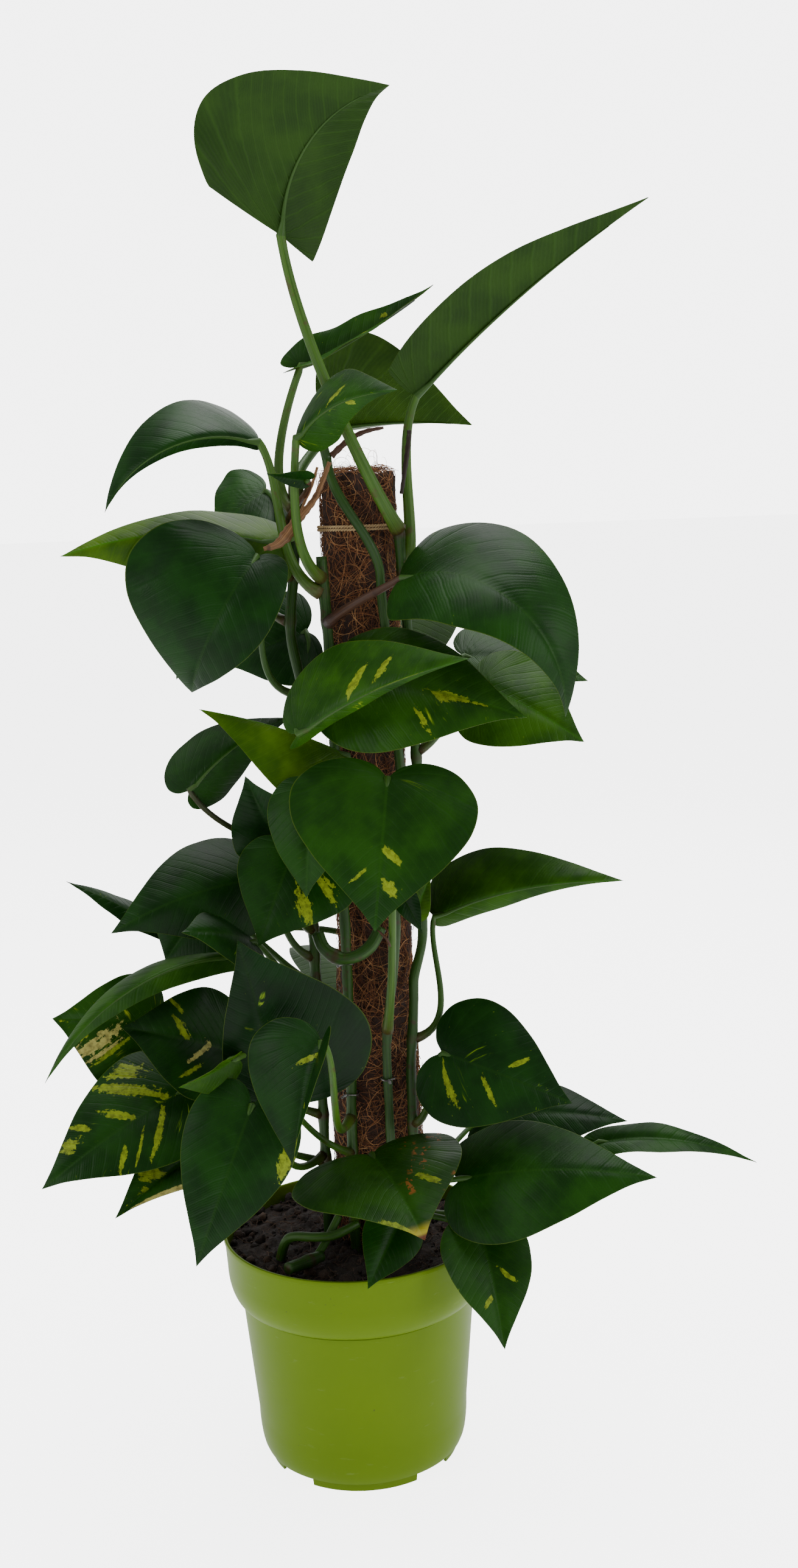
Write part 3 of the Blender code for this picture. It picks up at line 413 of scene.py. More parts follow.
def leaf_upper(name, look, seed):
    """Glossy green with veins pressed in, cream and lime streaks along them, and a thin pale margin painted
    on as a rim highlight.
    """
    g = Graph(name, Specular_IOR_Level=0.13)
    flat, lane, side, _, vein, fine = leaf_veins(g)
    along, across, _ = g.split(flat)
    out = g.math("ABSOLUTE", side)
    half = g.math("GREATER_THAN", side, 0.0)
    midrib = g.step(g.math("ABSOLUTE", across), 0.0004, 0.0014, 1.0, 0.0)
    tone = look.tone
    deep = (0.0022 * tone ** 2, 0.021 * tone, 0.0006)
    fresh = (0.0062 * tone ** 2, 0.043 * tone, 0.0010)
    patchy = g.noise(flat, 28 + seed % 5, 3, 0.55)
    green = g.mix(g.step(patchy, 0.35, 0.68), deep, fresh)
    green = g.mix(g.times(fine, 0.06), green, shade(fresh, 1.25))
    green = g.mix(g.times(vein, 0.07), green, shade(fresh, 1.5))
    # Streaks follow the veins: quick across them, slow along them, and they differ on the two halves.
    streak_at = g.vector(g.times(lane, 1.3), g.times(out, 1.3),
                         g.plus(g.times(half, 7.3), seed * 1.7))
    streak = g.noise(streak_at, 1.0, 4.0, 0.62, 0.4)
    zone_at = g.vector(g.times(along, 24.0), g.times(side, 1.3), seed * 3.1)
    zone = g.step(g.noise(zone_at, 1.0, 1.0), 0.62 - 0.30 * look.variegation, 0.74 - 0.26 * look.variegation)
    edge = 0.70 - 0.20 * look.variegation
    cream = g.times(g.step(streak, edge, edge + 0.05), zone)
    fleck_at = g.vector(g.times(lane, 5.0), g.times(out, 14.0), seed * 0.9)
    rare = 0.06 * look.variegation
    fleck = g.step(g.noise(fleck_at, 1.0, 2.0), 0.76 - rare, 0.80 - rare)
    lime = g.mix(g.step(streak, edge + 0.03, edge + 0.12), (0.055, 0.125, 0.002), (0.30, 0.36, 0.020))
    colour = g.mix(g.times(fleck, min(1.0, 1.3 * look.variegation)), green, (0.12, 0.20, 0.008))
    colour = g.mix(cream, colour, lime)
    colour = leaf_patches(g, name, colour, flat, lane, side, streak)
    colour = g.mix(g.times(midrib, 0.35), colour, (0.012 * tone, 0.055 * tone, 0.002))
    # Painted highlight: a pale band along the blade's edge stands in for the rim highlight
    margin = g.step(out, 0.985, 1.0)
    colour = g.mix(g.times(margin, 0.55), colour, (0.08, 0.13, 0.008))
    if name.startswith("leaf_42"):
        colour = leaf_ageing(g, colour, flat, along, side)
    roughness = g.line(patchy, 0.20, 0.30)
    grain = g.noise(flat, 1400, 2)
    rough_skin = g.bump(grain, 0.25, 0.00025)
    ribs = g.plus(g.times(vein, -1.0), g.times(fine, -0.35))
    return g.finish(colour, roughness, g.bump(ribs, 0.20, 0.0006, rough_skin))


def leaf_under(name, look, seed):
    """The duller, paler back of a leaf, its veins standing out."""
    g = Graph(name, Specular_IOR_Level=0.12)
    flat, _, _, wobble, vein, fine = leaf_veins(g)
    tone = look.tone
    base = (0.009 * tone, 0.030 * tone ** 0.8, 0.0028)
    light = (0.016 * tone, 0.047 * tone ** 0.8, 0.0045)
    green = g.mix(g.step(g.noise(flat, 30 + seed % 7, 3), 0.35, 0.7), base, light)
    green = g.mix(g.times(fine, 0.15), green, shade(light, 1.3))
    green = g.mix(g.times(vein, 0.30), green, shade(light, 1.5))
    grain = g.bump(g.noise(flat, 900, 2), 0.3, 0.0003)
    ribs = g.plus(vein, g.times(fine, 0.3))
    return g.finish(green, g.line(wobble, 0.15, 0.42), g.bump(ribs, 0.5, 0.0006, grain))


PETIOLE_COLOURS = {
    "green": ((0.014, 0.055, 0.002), (0.032, 0.095, 0.005), (0.050, 0.028, 0.010)),
    "light": ((0.026, 0.080, 0.003), (0.060, 0.140, 0.010), (0.065, 0.045, 0.012)),
    "keel": ((0.016, 0.058, 0.003), (0.034, 0.090, 0.006), (0.040, 0.060, 0.008)),
    "brown": ((0.018, 0.030, 0.005), (0.034, 0.034, 0.009), (0.022, 0.010, 0.005)),
    "dry": ((0.036, 0.014, 0.007), (0.078, 0.035, 0.016), (0.026, 0.010, 0.006)),
    "sheath": ((0.085, 0.036, 0.012), (0.26, 0.135, 0.055), (0.030, 0.013, 0.006)),
    "dead": ((0.010, 0.006, 0.004), (0.030, 0.018, 0.010), (0.060, 0.030, 0.014)),
    "vine": ((0.008, 0.036, 0.0015), (0.022, 0.072, 0.004), (0.038, 0.021, 0.008)),
}


def stem_skin(kind):
    """Ribbed green stem with pale streaks and corky brown scars."""
    dark, light, scar = PETIOLE_COLOURS[kind]
    g = Graph("stem_" + kind, Specular_IOR_Level=0.3)
    along, around, _ = g.split(g.uv("flat"))
    place = g.place()
    lines_at = g.vector(g.times(along, 14.0), g.times(around, 900.0))
    lines = g.noise(lines_at, 1.0, 3, 0.6)
    colour = g.mix(g.step(lines, 0.35, 0.68), dark, light)
    blotch = g.noise(place, 95, 4, 0.6)
    colour = g.mix(g.times(g.step(blotch, 0.58, 0.70), 0.7), colour, scar)
    colour = g.mix(g.attribute("scar"), colour, scar)
    height = g.plus(lines, g.times(g.noise(place, 500, 3), 0.6))
    return g.finish(colour, g.line(blotch, 0.25, 0.32), g.bump(height, 0.45, 0.0005))


# ---------------------------------------------------------------- mesh helpers
def linked(name, data):
    obj = bpy.data.objects.new(name, data)
    bpy.context.scene.collection.objects.link(obj)
    return obj


def mesh_object(name, verts, faces, materials, indices=None, uvs=None, attributes=None):
    """A mesh piece; uvs is {layer: one (u, v) per vertex}, attributes is {name: one number per vertex}."""
    mesh = bpy.data.meshes.new(name)
    mesh.from_pydata([tuple(p) for p in verts], [], [tuple(f) for f in faces])
    for mat in materials:
        mesh.materials.append(mat)
    if indices is not None:
        mesh.polygons.foreach_set("material_index", np.asarray(indices, np.int32))
    corner = np.zeros(len(mesh.loops), np.int32)
    mesh.loops.foreach_get("vertex_index", corner)
    for layer, values in (uvs or {}).items():
        places = np.asarray(values, np.float32)[corner].ravel()
        mesh.uv_layers.new(name=layer).uv.foreach_set("vector", places)
    for key, values in (attributes or {}).items():
        mesh.attributes.new(key, "FLOAT", "POINT").data.foreach_set("value", np.asarray(values, np.float32))
    mesh.shade_smooth()
    return linked(name, mesh)


def weld(obj):
    bm = bmesh.new()
    bm.from_mesh(obj.data)
    bmesh.ops.remove_doubles(bm, verts=bm.verts, dist=WELD_DISTANCE)
    bmesh.ops.recalc_face_normals(bm, faces=bm.faces)
    bm.to_mesh(obj.data)
    bm.free()


def place_piece(obj, slot, *nodes):
    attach(obj, "root")
    if nodes:
        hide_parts(*nodes)
    return obj


def unit(a):
    a = np.asarray(a, float)
    return a / np.maximum(np.linalg.norm(a, axis=-1, keepdims=True), 1e-12)


def run_lengths(path):
    """Distance along a path at each of its points."""
    return np.concatenate([[0], np.cumsum(np.linalg.norm(np.diff(path, axis=0), axis=1))])


def ring_faces(rings, sides, inward=False):
    """Quads between closed rings of vertices; inward turns them the other way round."""
    faces = []
    for i in range(rings - 1):
        for j in range(sides):
            here, beside = i * sides + j, i * sides + (j + 1) % sides
            quad = (here, beside, beside + sides, here + sides)
            faces.append((quad[0], *quad[:0:-1]) if inward else quad)
    return faces


def tube(path, radii, sides=10, flat=1.0, first=(0, 0, 1)):
    """Verts, faces and (length, girth) of a round tube with closed ends; flat squashes it across."""
    path, radii = np.asarray(path, float), np.asarray(radii, float)
    tangent = unit(np.gradient(path, axis=0))
    ref = np.cross(tangent[0], first)
    if np.linalg.norm(ref) < 0.1:
        ref = np.cross(tangent[0], (1, 0, 0))
    frames = []
    for d in tangent:
        ref = unit(ref - d * (ref @ d))
        frames.append((ref, np.cross(d, ref)))
    angles = np.linspace(0, 2 * pi, sides, endpoint=False)
    rings = [p + r * (np.outer(np.cos(angles), a) + flat * np.outer(np.sin(angles), b))
             for p, r, (a, b) in zip(path, radii, frames)]
    verts = np.concatenate(rings + [path[:1], path[-1:]])
    n = len(path)
    faces = ring_faces(n, sides)
    faces += [((j + 1) % sides, j, n * sides) for j in range(sides)]
    last = (n - 1) * sides
    faces += [(last + j, last + (j + 1) % sides, n * sides + 1) for j in range(sides)]
    length = run_lengths(path)
    wrap = np.abs(angles - pi) * radii.max()
    uv = np.concatenate([np.stack([np.full(sides, s), wrap], 1) for s in length]
                        + [[[0, 0]], [[length[-1], 0]]])
    return verts, faces, uv


class Bundle:
    """Gathers many small meshes into one piece."""

    def __init__(self):
        self.verts, self.faces, self.uvs, self.tints, self.indices, self.count = [], [], [], [], [], 0

    def take(self, part, tint=0.0, index=0):
        verts, faces, uv = part
        self.verts.append(verts)
        self.faces += [tuple(k + self.count for k in f) for f in faces]
        self.uvs.append(uv)
        self.tints.append(np.full(len(verts), tint) if np.isscalar(tint) else tint)
        self.indices += [index] * len(faces)
        self.count += len(verts)

    def piece(self, name, materials, attribute="tint"):
        return mesh_object(name, np.concatenate(self.verts), self.faces, materials, self.indices,
                           {"flat": np.concatenate(self.uvs)}, {attribute: np.concatenate(self.tints)})


def smooth_path(points, step):
    """Catmull-Rom points through a route in metres, about one step apart."""
    pts = np.asarray(points, float)
    out = []
    for i in range(len(pts) - 1):
        p0, p1, p2, p3 = pts[max(i - 1, 0)], pts[i], pts[i + 1], pts[min(i + 2, len(pts) - 1)]
        t = np.arange(n := max(2, round(np.linalg.norm(p2 - p1) / step)))[:, None] / n
        out.append(0.5 * (2 * p1 + (p2 - p0) * t + (2 * p0 - 5 * p1 + 4 * p2 - p3) * t * t
                          + (3 * p1 - p0 - 3 * p2 + p3) * t ** 3))
    return np.concatenate(out + [pts[-1:]])


# ---------------------------------------------------------------- leaves
def outline(t):
    """Catmull-Rom points of the half outline, t from 0 at the sinus to 1 at the tip."""
    p = np.array(OUTLINE, float)
    last = len(p) - 1
    i = np.minimum((t * last).astype(int), last - 1)
    f = (t * last - i)[..., None]
    a, b, c, d = (p[np.clip(i + k, 0, last)] for k in (-1, 0, 1, 2))
    return 0.5 * (2 * b + (c - a) * f + (2 * a - 5 * b + 4 * c - d) * f ** 2
                  + (3 * b - a - 3 * c + d) * f ** 3)


def leaf_frame(leaf):
    base, tip = np.array(leaf.base) * CM, np.array(leaf.tip) * CM
    along = unit(tip - base)
    face = np.array(leaf.face, float)
    up = unit(face - along * (face @ along))
    bend = radians(leaf.bend)
    return base, np.linalg.norm(tip - base) * bend / (2 * sin(bend / 2)), along, np.cross(up, along), up


def vein_lane(a, b):
    """The same number all along one side vein: they leave the midrib forward, and fan out in the lobes."""
    ahead = a - 0.75 * b - 0.9 * b ** 2
    fan = 0.30 * (np.arctan2(b, a) - np.arctan2(1, 0.75 + 0.9 * b))
    return np.where(ahead >= 0, ahead, -fan)


def blade(leaf, t, v, rise=0.0, look=None, seed=0):
    """Points of the blade and their flat (along, across) places, t along the outline, v from -1 to 1."""
    base, length, along, across, up = leaf_frame(leaf)
    left = v >= 0
    side = np.where(left, 1.0, -1.0)
    share = np.where(left, leaf.halves[0], leaf.halves[1]) * CM / length / WIDEST
    e = outline(t)
    e[..., 0] = np.where(e[..., 0] < 0, e[..., 0] * leaf.lobe, e[..., 0])
    mid = t ** VEIN_SWEEP
    out = np.abs(v)
    a = mid + (e[..., 0] - mid) * out ** 1.25
    b = e[..., 1] * out * share * (1 + leaf.full * np.maximum(0, e[..., 0]))
    fold = np.radians(np.where(left, leaf.folds[0], leaf.folds[1]))
    width = np.minimum(1, b / (WIDEST * share))
    slope = fold - radians(leaf.curl) * width / 2
    z = b * np.sin(slope) + rise / length
    if look:
        # Cushions between the veins, a channel along the midrib, a rippled margin and a slow warp
        lane = np.abs(np.sin(pi * VEINS * vein_lane(a, b)))
        quilt = QUILT * lane ** 0.6 * np.sin(pi * np.minimum(out, 0.98)) ** 0.6
        channel = -CHANNEL * np.exp(-(b * length / CHANNEL_WIDTH) ** 2)
        ripple = RIPPLE * look.ripple * width ** 2 * np.sin(2 * pi * (2.3 * a + 0.31 * side + 0.37 * seed))
        warp = WARP * np.sin(5.1 * a + seed) * np.sin(3.0 * b / WIDEST * side + 0.7 * seed) * width
        relief = quilt + channel + ripple + warp
        z = z + relief * np.minimum(1, 12 * (1 - t)) * np.minimum(1, 9 * t) / length
    hump = np.clip(a, 0, 1)
    y = b * np.cos(slope) * side + leaf.sweep * 4 * hump * (1 - hump)
    bend = radians(leaf.bend)
    turn = bend * (a - 0.5)
    x = (np.sin(turn) + sin(bend / 2)) / bend + z * np.sin(turn)
    h = (np.cos(turn) - cos(bend / 2)) / bend + z * np.cos(turn)
    points = base + length * (x[..., None] * along + y[..., None] * across + h[..., None] * up)
    return points, np.stack([a, b * side], -1) * length, vein_lane(a, b)


def blade_mesh(leaf, look, seed):
    """Two skins and a rim, with the UV layers veins (t, v) and flat (metres)."""
    t = np.linspace(0, 1, LEAF_ROWS)[:, None] + np.zeros(LEAF_COLUMNS + 1)
    v = np.sin(np.linspace(-1, 1, LEAF_COLUMNS + 1) * pi / 2)[None, :] * np.ones((LEAF_ROWS, 1))
    top, flat, lane = blade(leaf, t, v, look=look, seed=seed)
    du, dv = np.gradient(top, axis=0), np.gradient(top, axis=1)
    normal = unit(np.cross(dv, du))
    normal[0], normal[-1] = unit(normal[1].mean(0)), unit(normal[-2].mean(0))
    row, column = LEAF_ROWS // 3, LEAF_COLUMNS // 2
    upward = (blade(leaf, t, v, 0.001)[0] - blade(leaf, t, v)[0])[row, column]
    if normal[row].mean(0) @ upward < 0:
        normal = -normal
    thin = BLADE_THICKNESS * (1 - 0.55 * np.abs(v) ** 6)
    bottom = top - normal * thin[..., None]
    n, m = top.shape[:2]
    verts = np.concatenate([top.reshape(-1, 3), bottom.reshape(-1, 3)])
    at = lambda i, j, low=0: low * n * m + i * m + j
    faces, index = [], []
    for i in range(n - 1):
        for j in range(m - 1):
            faces += [(at(i, j), at(i, j + 1), at(i + 1, j + 1), at(i + 1, j)),
                      (at(i, j, 1), at(i + 1, j, 1), at(i + 1, j + 1, 1), at(i, j + 1, 1))]
            index += [0, 1]
        faces += [(at(i, 0), at(i + 1, 0), at(i + 1, 0, 1), at(i, 0, 1)),
                  (at(i, m - 1), at(i, m - 1, 1), at(i + 1, m - 1, 1), at(i + 1, m - 1))]
        index += [0, 0]
    vein_uv = np.stack([lane, v / 2 + 0.5], -1).reshape(-1, 2)
    flat_uv = flat.reshape(-1, 2)
    return verts, faces, index, np.tile(vein_uv, (2, 1)), np.tile(flat_uv, (2, 1))


def vine_point(name, height):
    """Centre of a vine at a height in cm, in metres."""
    route = VINES[name][1]
    for (b0, s0, z0), (b1, s1, z1) in zip(route, route[1:]):
        if height <= z1 or (b1, s1, z1) == route[-1]:
            t = min(1.0, (height - z0) / (z1 - z0))
            t = t * t * (3 - 2 * t)
            bearing, off = radians(b0 + (b1 - b0) * t), POLE_RADIUS + (s0 + (s1 - s0) * t) * CM
            return np.array((POLE_X + off * cos(bearing), POLE_Y + off * sin(bearing), height * CM))


def petiole(leaf, stalk):
    """The stalk from just off the vine into the midrib, thick and sheathed at its foot."""
    base, _, along, _, up = leaf_frame(leaf)
    vine = vine_point(leaf.vine, leaf.joint)
    radial = unit((vine[0] - POLE_X, vine[1] - POLE_Y, 0))
    out = unit((base[0] - vine[0], base[1] - vine[1], 0)) + 0.6 * radial
    if out @ radial < 0.35:
        out = out + (0.35 - out @ radial) * radial
    out = unit(unit(out) + (0, 0, 0.5))
    start = vine + out * (VINES[leaf.vine][0] - 0.0008)
    reach = np.linalg.norm(base - start)
    half = radians(leaf.bend) / 2
    enter = unit(cos(half) * along + sin(half) * up + 2.2 * unit(base - start))
    bow = np.array(leaf.bow) * CM
    p1, p2 = start + out * reach * 0.35 + bow, base - enter * reach * 0.3 + 0.3 * bow
    steps = max(14, int(reach / 0.004))
    t = np.linspace(0, 1, steps)[:, None]
    path = start * (1 - t) ** 3 + p1 * 3 * t * (1 - t) ** 2 + p2 * 3 * t * t * (1 - t) + base * t ** 3
    s = t[:, 0]
    swell = 0.55 * np.exp(-s * reach / 0.010)
    knee = 0.12 * np.exp(-((1 - s) * reach / 0.006) ** 2)
    radius = PETIOLE_RADIUS * (1.0 + (stalk - 1) * (1 - 0.5 * s) - 0.25 * s + swell + knee)
    rib_t = np.linspace(0.30, 0.93, 22)
    rib_r = np.interp(rib_t, (0.30, 0.5, 0.93), (PETIOLE_RADIUS * 0.62, 0.0010, 0.0003))
    rib = np.array([blade(leaf, np.array([k]), np.array([0.0]), -0.0013 - r * 0.75)[0][0]
                    for k, r in zip(rib_t, rib_r)])
    path = np.concatenate([path, rib])
    radius = np.concatenate([radius, rib_r])
    verts, faces, uv = tube(path, radius, 10)
    scar = np.repeat(np.concatenate([np.exp(-s * reach / 0.006), np.zeros(len(rib))]), 10)
    keel = [max(f) >= 10 * steps for f in faces]
    return verts, faces, uv, np.concatenate([scar, [1, 0]]), keel


def build_leaf(name, leaf, look, seed):
    verts, faces, index, veins, flat = blade_mesh(leaf, look, seed)
    s_verts, s_faces, s_uv, scar, keel = petiole(leaf, look.stalk)
    count = len(verts)
    faces = faces + [tuple(k + count for k in f) for f in s_faces]
    index = index + [3 if under else 2 for under in keel]
    obj = mesh_object(name + "_living", np.concatenate([verts, s_verts]), faces,
                      [leaf_upper(name + "_upper", look, seed), leaf_under(name + "_under", look, seed),
                       STEM_SKINS[look.petiole], STEM_SKINS["keel"]], index,
                      {"veins": np.concatenate([veins, s_uv]), "flat": np.concatenate([flat, s_uv])},
                      {"scar": np.concatenate([np.zeros(count), scar])})
    weld(obj)
    return obj


# Leaves too small for a CAD node of their own
SMALL_LEAVES = {
    "leaf_24": Leaf("vine_front_right", 44, (4.0, -7, 42.6), (5.3, -8, 40.1), (0.3, -8, 2), (0.9, 0.8), 20,
        (20, 20)),
    "leaf_25": Leaf("vine_right", 40, (5.0, -3.2, 40.2), (6.1, -4, 43.0), (-2, -8, 1), (0.9, 0.9), 20,
        (15, 15)),
    "leaf_36": Leaf("vine_left", 30, (-7.0, -11.8, 33.4), (-10.4, -14, 32.4), (-1, -6, -3), (2.0, 0.8), 25,
        (10, 30)),
    "leaf_54": Leaf("vine_left", 66, (-0.9, -6.3, 69.4), (-3.4, -7.6, 69.9), (0, -6, -3), (0.5, 0.8), 20,
        (20, 20)),
}


def build_leaves():
    for seed, (name, leaf) in enumerate(LEAVES.items()):
        place_piece(build_leaf(name, leaf, LOOKS.get(name, PLAIN), seed), "leaf", name)
    for seed, (name, leaf) in enumerate(SMALL_LEAVES.items(), len(LEAVES)):
        place_piece(build_leaf(name, leaf, LOOKS[name], seed), "leaf")


# ---------------------------------------------------------------- vines and stems
def vine_tube(path, radius, nodes, sides=14):
    """A stem with swollen, ringed joints at the given distances along it."""
    length = run_lengths(path)
    swell, scar = np.zeros(len(path)), np.zeros(len(path))
    for at in nodes:
        swell += 0.22 * np.exp(-((length - at) / 0.0045) ** 2)
        scar += 0.9 * np.exp(-((length - at) / 0.0016) ** 2)
    verts, faces, uv = tube(path, radius * (1 + swell + 0.04 * np.sin(length * 170)), sides)
    ring = np.repeat(np.clip(scar, 0, 1), sides)
    return (verts, faces, uv), np.concatenate([ring, [0.5, 1.0]])


def place_stem(name, part, scar, skin, *nodes):
    bundle = Bundle()
    bundle.take(part, scar)
    place_piece(bundle.piece(name, [STEM_SKINS[skin]], "scar"), "stem", *nodes)


def build_vines():
    for name, (radius, route) in VINES.items():
        foot, top = route[0][2], route[-1][2]
        path = np.array([vine_point(name, foot + (top - foot) * k / 150) for k in range(151)])
        joints = sorted(leaf.joint for leaf in LEAVES.values() if leaf.vine == name)
        part, scar = vine_tube(path, radius, [(j - foot) * CM * 1.005 for j in joints])
        place_stem(name + "_living", part, scar, "vine", name)
    for name, (radius, route) in STEMS.items():
        path = smooth_path(np.array(route) * CM, 0.003)
        part, scar = vine_tube(path, radius, [0.02])
        scar[-1] = scar[-2] = 1.0
        place_stem(name + "_living", part, scar, "vine", name)


# Dried sheaths and short stems: skin, half widths in mm along the route, squash across it, route in cm
EXTRAS = {
    "sheath_long": ("sheath", (1.4, 1.8, 2.6, 4.2, 1.2), 0.35,
                    ((0.5, -3.4, 70.6), (-0.5, -3.8, 68.4), (-1.7, -4.2, 67.0), (-2.9, -4.4, 65.6),
                     (-4.0, -4.4, 65.2))),
    "sheath_thin": ("sheath", (0.8, 1.3, 0.5), 0.4,
                    ((-0.3, -3.9, 70.3), (-0.7, -4.1, 69.2), (-1.6, -4.5, 67.3))),
    "sheath_upper": ("dry", (2.2, 2.0, 1.6, 0.9), 0.5,
                     ((0.6, -2.4, 71.0), (1.8, -2.4, 72.0), (2.9, -2.4, 72.5), (4.1, -2.4, 72.7))),
    "sheath_dark": ("dead", (1.4, 1.6, 1.2), 0.4,
                    ((5.8, -1.6, 72.5), (5.6, -2.2, 71.1), (5.1, -2.6, 68.4))),
    "sheath_spike": ("dead", (1.3, 0.3), 0.6, ((4.6, -2.8, 68.6), (4.7, -2.8, 69.6))),
    "stem_slant": ("green", (3.0, 2.9, 2.8), 1.0,
                   ((-3.3, -5.5, 16.1), (-2.2, -4.6, 17.3), (-1.1, -3.5, 18.9))),
    "stem_arc": ("green", (3.4, 3.4, 3.3, 3.2, 3.0), 1.0,
                 ((-5.3, -3.6, 16.0), (-4.6, -4.1, 17.7), (-2.7, -4.8, 18.0), (-1.4, -4.6, 18.0),
                  (0.2, -3.6, 18.3))),
    "stem_tip": ("vine", (3.2, 3.1, 2.4), 1.0,
                 ((0.3, -2.32, 70.8), (0.05, -2.45, 72.0), (-0.2, -2.6, 73.2))),
    "root_curl": ("dry", (1.0, 0.9, 0.5), 1.0,
                  ((2.4, -6.0, 39.9), (3.0, -6.2, 39.3), (3.2, -6.2, 38.8))),
}


def build_extras():
    for name, (skin, widths, squash, route) in EXTRAS.items():
        path = smooth_path(np.array(route) * CM, 0.0015)
        widths = np.interp(np.linspace(0, 1, len(path)), np.linspace(0, 1, len(widths)), widths)
        ragged = 1 + 0.10 * np.sin(np.arange(len(path)) * 1.7) * (squash < 1)
        part = tube(path, widths * ragged * 0.001, 12, squash, (0, 1, 0))
        place_stem(name + "_grown", part, 0.0, skin)


# ---------------------------------------------------------------- coir pole
# Pieces of matted fibre (name, number, thickness), then the loose wisps
FIBRES = (("coir_fibres", 3200, 0.00022), ("coir_fibres_fine", 3200, 0.00013))
CURLS, CURLS_ON_TOP, TOP_ENDS = 150, 100, 220


def sleeve_radius(z, angle):
    """The sleeve stands out a little low down, where the coir is loose, and most on its left."""
    loose = np.clip((BULGE_END - z) / (BULGE_END - BULGE_FULL), 0, 1) * (z > BULGE_FOOT)
    return POLE_RADIUS + loose * (BULGE + LEFT_BULGE * np.maximum(0, np.cos(angle - pi)) ** 3)


def coir_skin():
    g = Graph("coir_fibre")
    tint, place = g.attribute("tint"), g.place()
    mixed = g.plus(tint, g.times(g.minus(g.noise(place, 60, 3), 0.5), 0.5))
    colour = g.ramp(mixed, (0.0, (0.024, 0.008, 0.003)), (0.35, (0.115, 0.038, 0.012)),
                    (0.7, (0.32, 0.125, 0.040)), (1.0, (0.62, 0.34, 0.14)))
    return g.finish(colour, g.line(tint, 0.15, 0.7))


# Painted shade: the matted coir under the loose fibres is coloured far darker than the fibres, for the shade
# in the gaps between them
def coir_mat_painted_shade():
    g = Graph("coir_mat_painted_shade")
    place = g.place()
    x, y, z = g.split(place)
    weave = g.noise(g.vector(g.times(x, 3.0), g.times(y, 3.0), z), 230, 5, 0.7, 1.2)
    colour = g.ramp(weave, (0.3, (0.006, 0.002, 0.001)), (0.55, (0.034, 0.012, 0.005)),
                    (0.75, (0.10, 0.038, 0.015)))
    return g.finish(colour, g.line(weave, 0.1, 0.8), g.bump(weave, 0.9, 0.002))


def build_sleeve():
    """The matted sleeve, lumpy, open in the middle round the stake."""
    rows, sides = 150, 72
    z = np.linspace(SLEEVE_BOTTOM, POLE_TOP - 0.003, rows)
    a = np.linspace(0, 2 * pi, sides, endpoint=False)
    lump = 0.0009 * np.sin(5 * a[None] + 40 * z[:, None]) + 0.0007 * np.sin(3 * a[None] - 63 * z[:, None] + 1)
    r = sleeve_radius(z[:, None], a[None]) - MAT_DEPTH + lump
    r[0] = POLE_RADIUS - MAT_DEPTH
    outer = np.stack([r * np.cos(a), r * np.sin(a), np.repeat(z[:, None], sides, 1)], -1)
    shrink = [outer]
    for k, drop in ((0.93, -0.001), (0.75, -0.002), (0.45, -0.003)):
        ring = outer[-1:] * (k, k, 1)
        ring[..., 2] = POLE_TOP + drop + 0.001 * np.sin(4 * a + 9 * k)
        shrink.append(ring)
    bottom = np.full(sides, SLEEVE_BOTTOM)
    well = np.stack([STAKE_RADIUS * np.cos(a), STAKE_RADIUS * np.sin(a), bottom], -1)[None]
    rings = np.concatenate(shrink + [well, outer[:1]])
    verts = rings.reshape(-1, 3) + (POLE_X, POLE_Y, 0)
    sleeve = mesh_object("coir_sleeve_mat", verts, ring_faces(len(rings), sides), [coir_mat_painted_shade()])
    weld(sleeve)
    place_piece(sleeve, "coir", "coir_sleeve")


def build_fibres(rng, fibre):
    """Single fibres matted over the sleeve; every 23rd has an end that stands off."""
    for piece, count, thick in FIBRES:
        bundle = Bundle()
        for k in range(count):
            turn, z0 = rng.uniform(0, 2 * pi), rng.uniform(SOIL_TOP - 0.004, POLE_TOP - 0.004)
            lean, curl, span = rng.normal(0, 1.2), rng.uniform(-2.6, 2.6), rng.uniform(0.014, 0.045)
            s = np.linspace(-0.5, 0.5, 8)
            angle = turn + span / POLE_RADIUS * (s * sin(lean) + curl * (s ** 2) * cos(lean))
            height = z0 + span * (s * cos(lean) - curl * s ** 2 * sin(lean))
            height = np.clip(height, SOIL_TOP - 0.004, POLE_TOP - 0.0005)
            lift = rng.uniform(-0.0003, 0.0010) + 0.0008 * np.cos(s * rng.uniform(3, 9))
            if k % 23 == 0:
                lift = lift + np.linspace(0, rng.uniform(0.001, 0.0035), 8)
            radius = sleeve_radius(z0, turn) - 0.0012 + lift
            wander = rng.normal(0, 0.012, 8)
            path = np.stack([POLE_X + radius * np.cos(angle + wander),
                             POLE_Y + radius * np.sin(angle + wander), height], 1)
            bundle.take(tube(path, np.full(8, thick * rng.uniform(0.6, 1.2)), 3), rng.uniform(0.1, 0.95))
        place_piece(bundle.piece(piece, [fibre]), "coir")


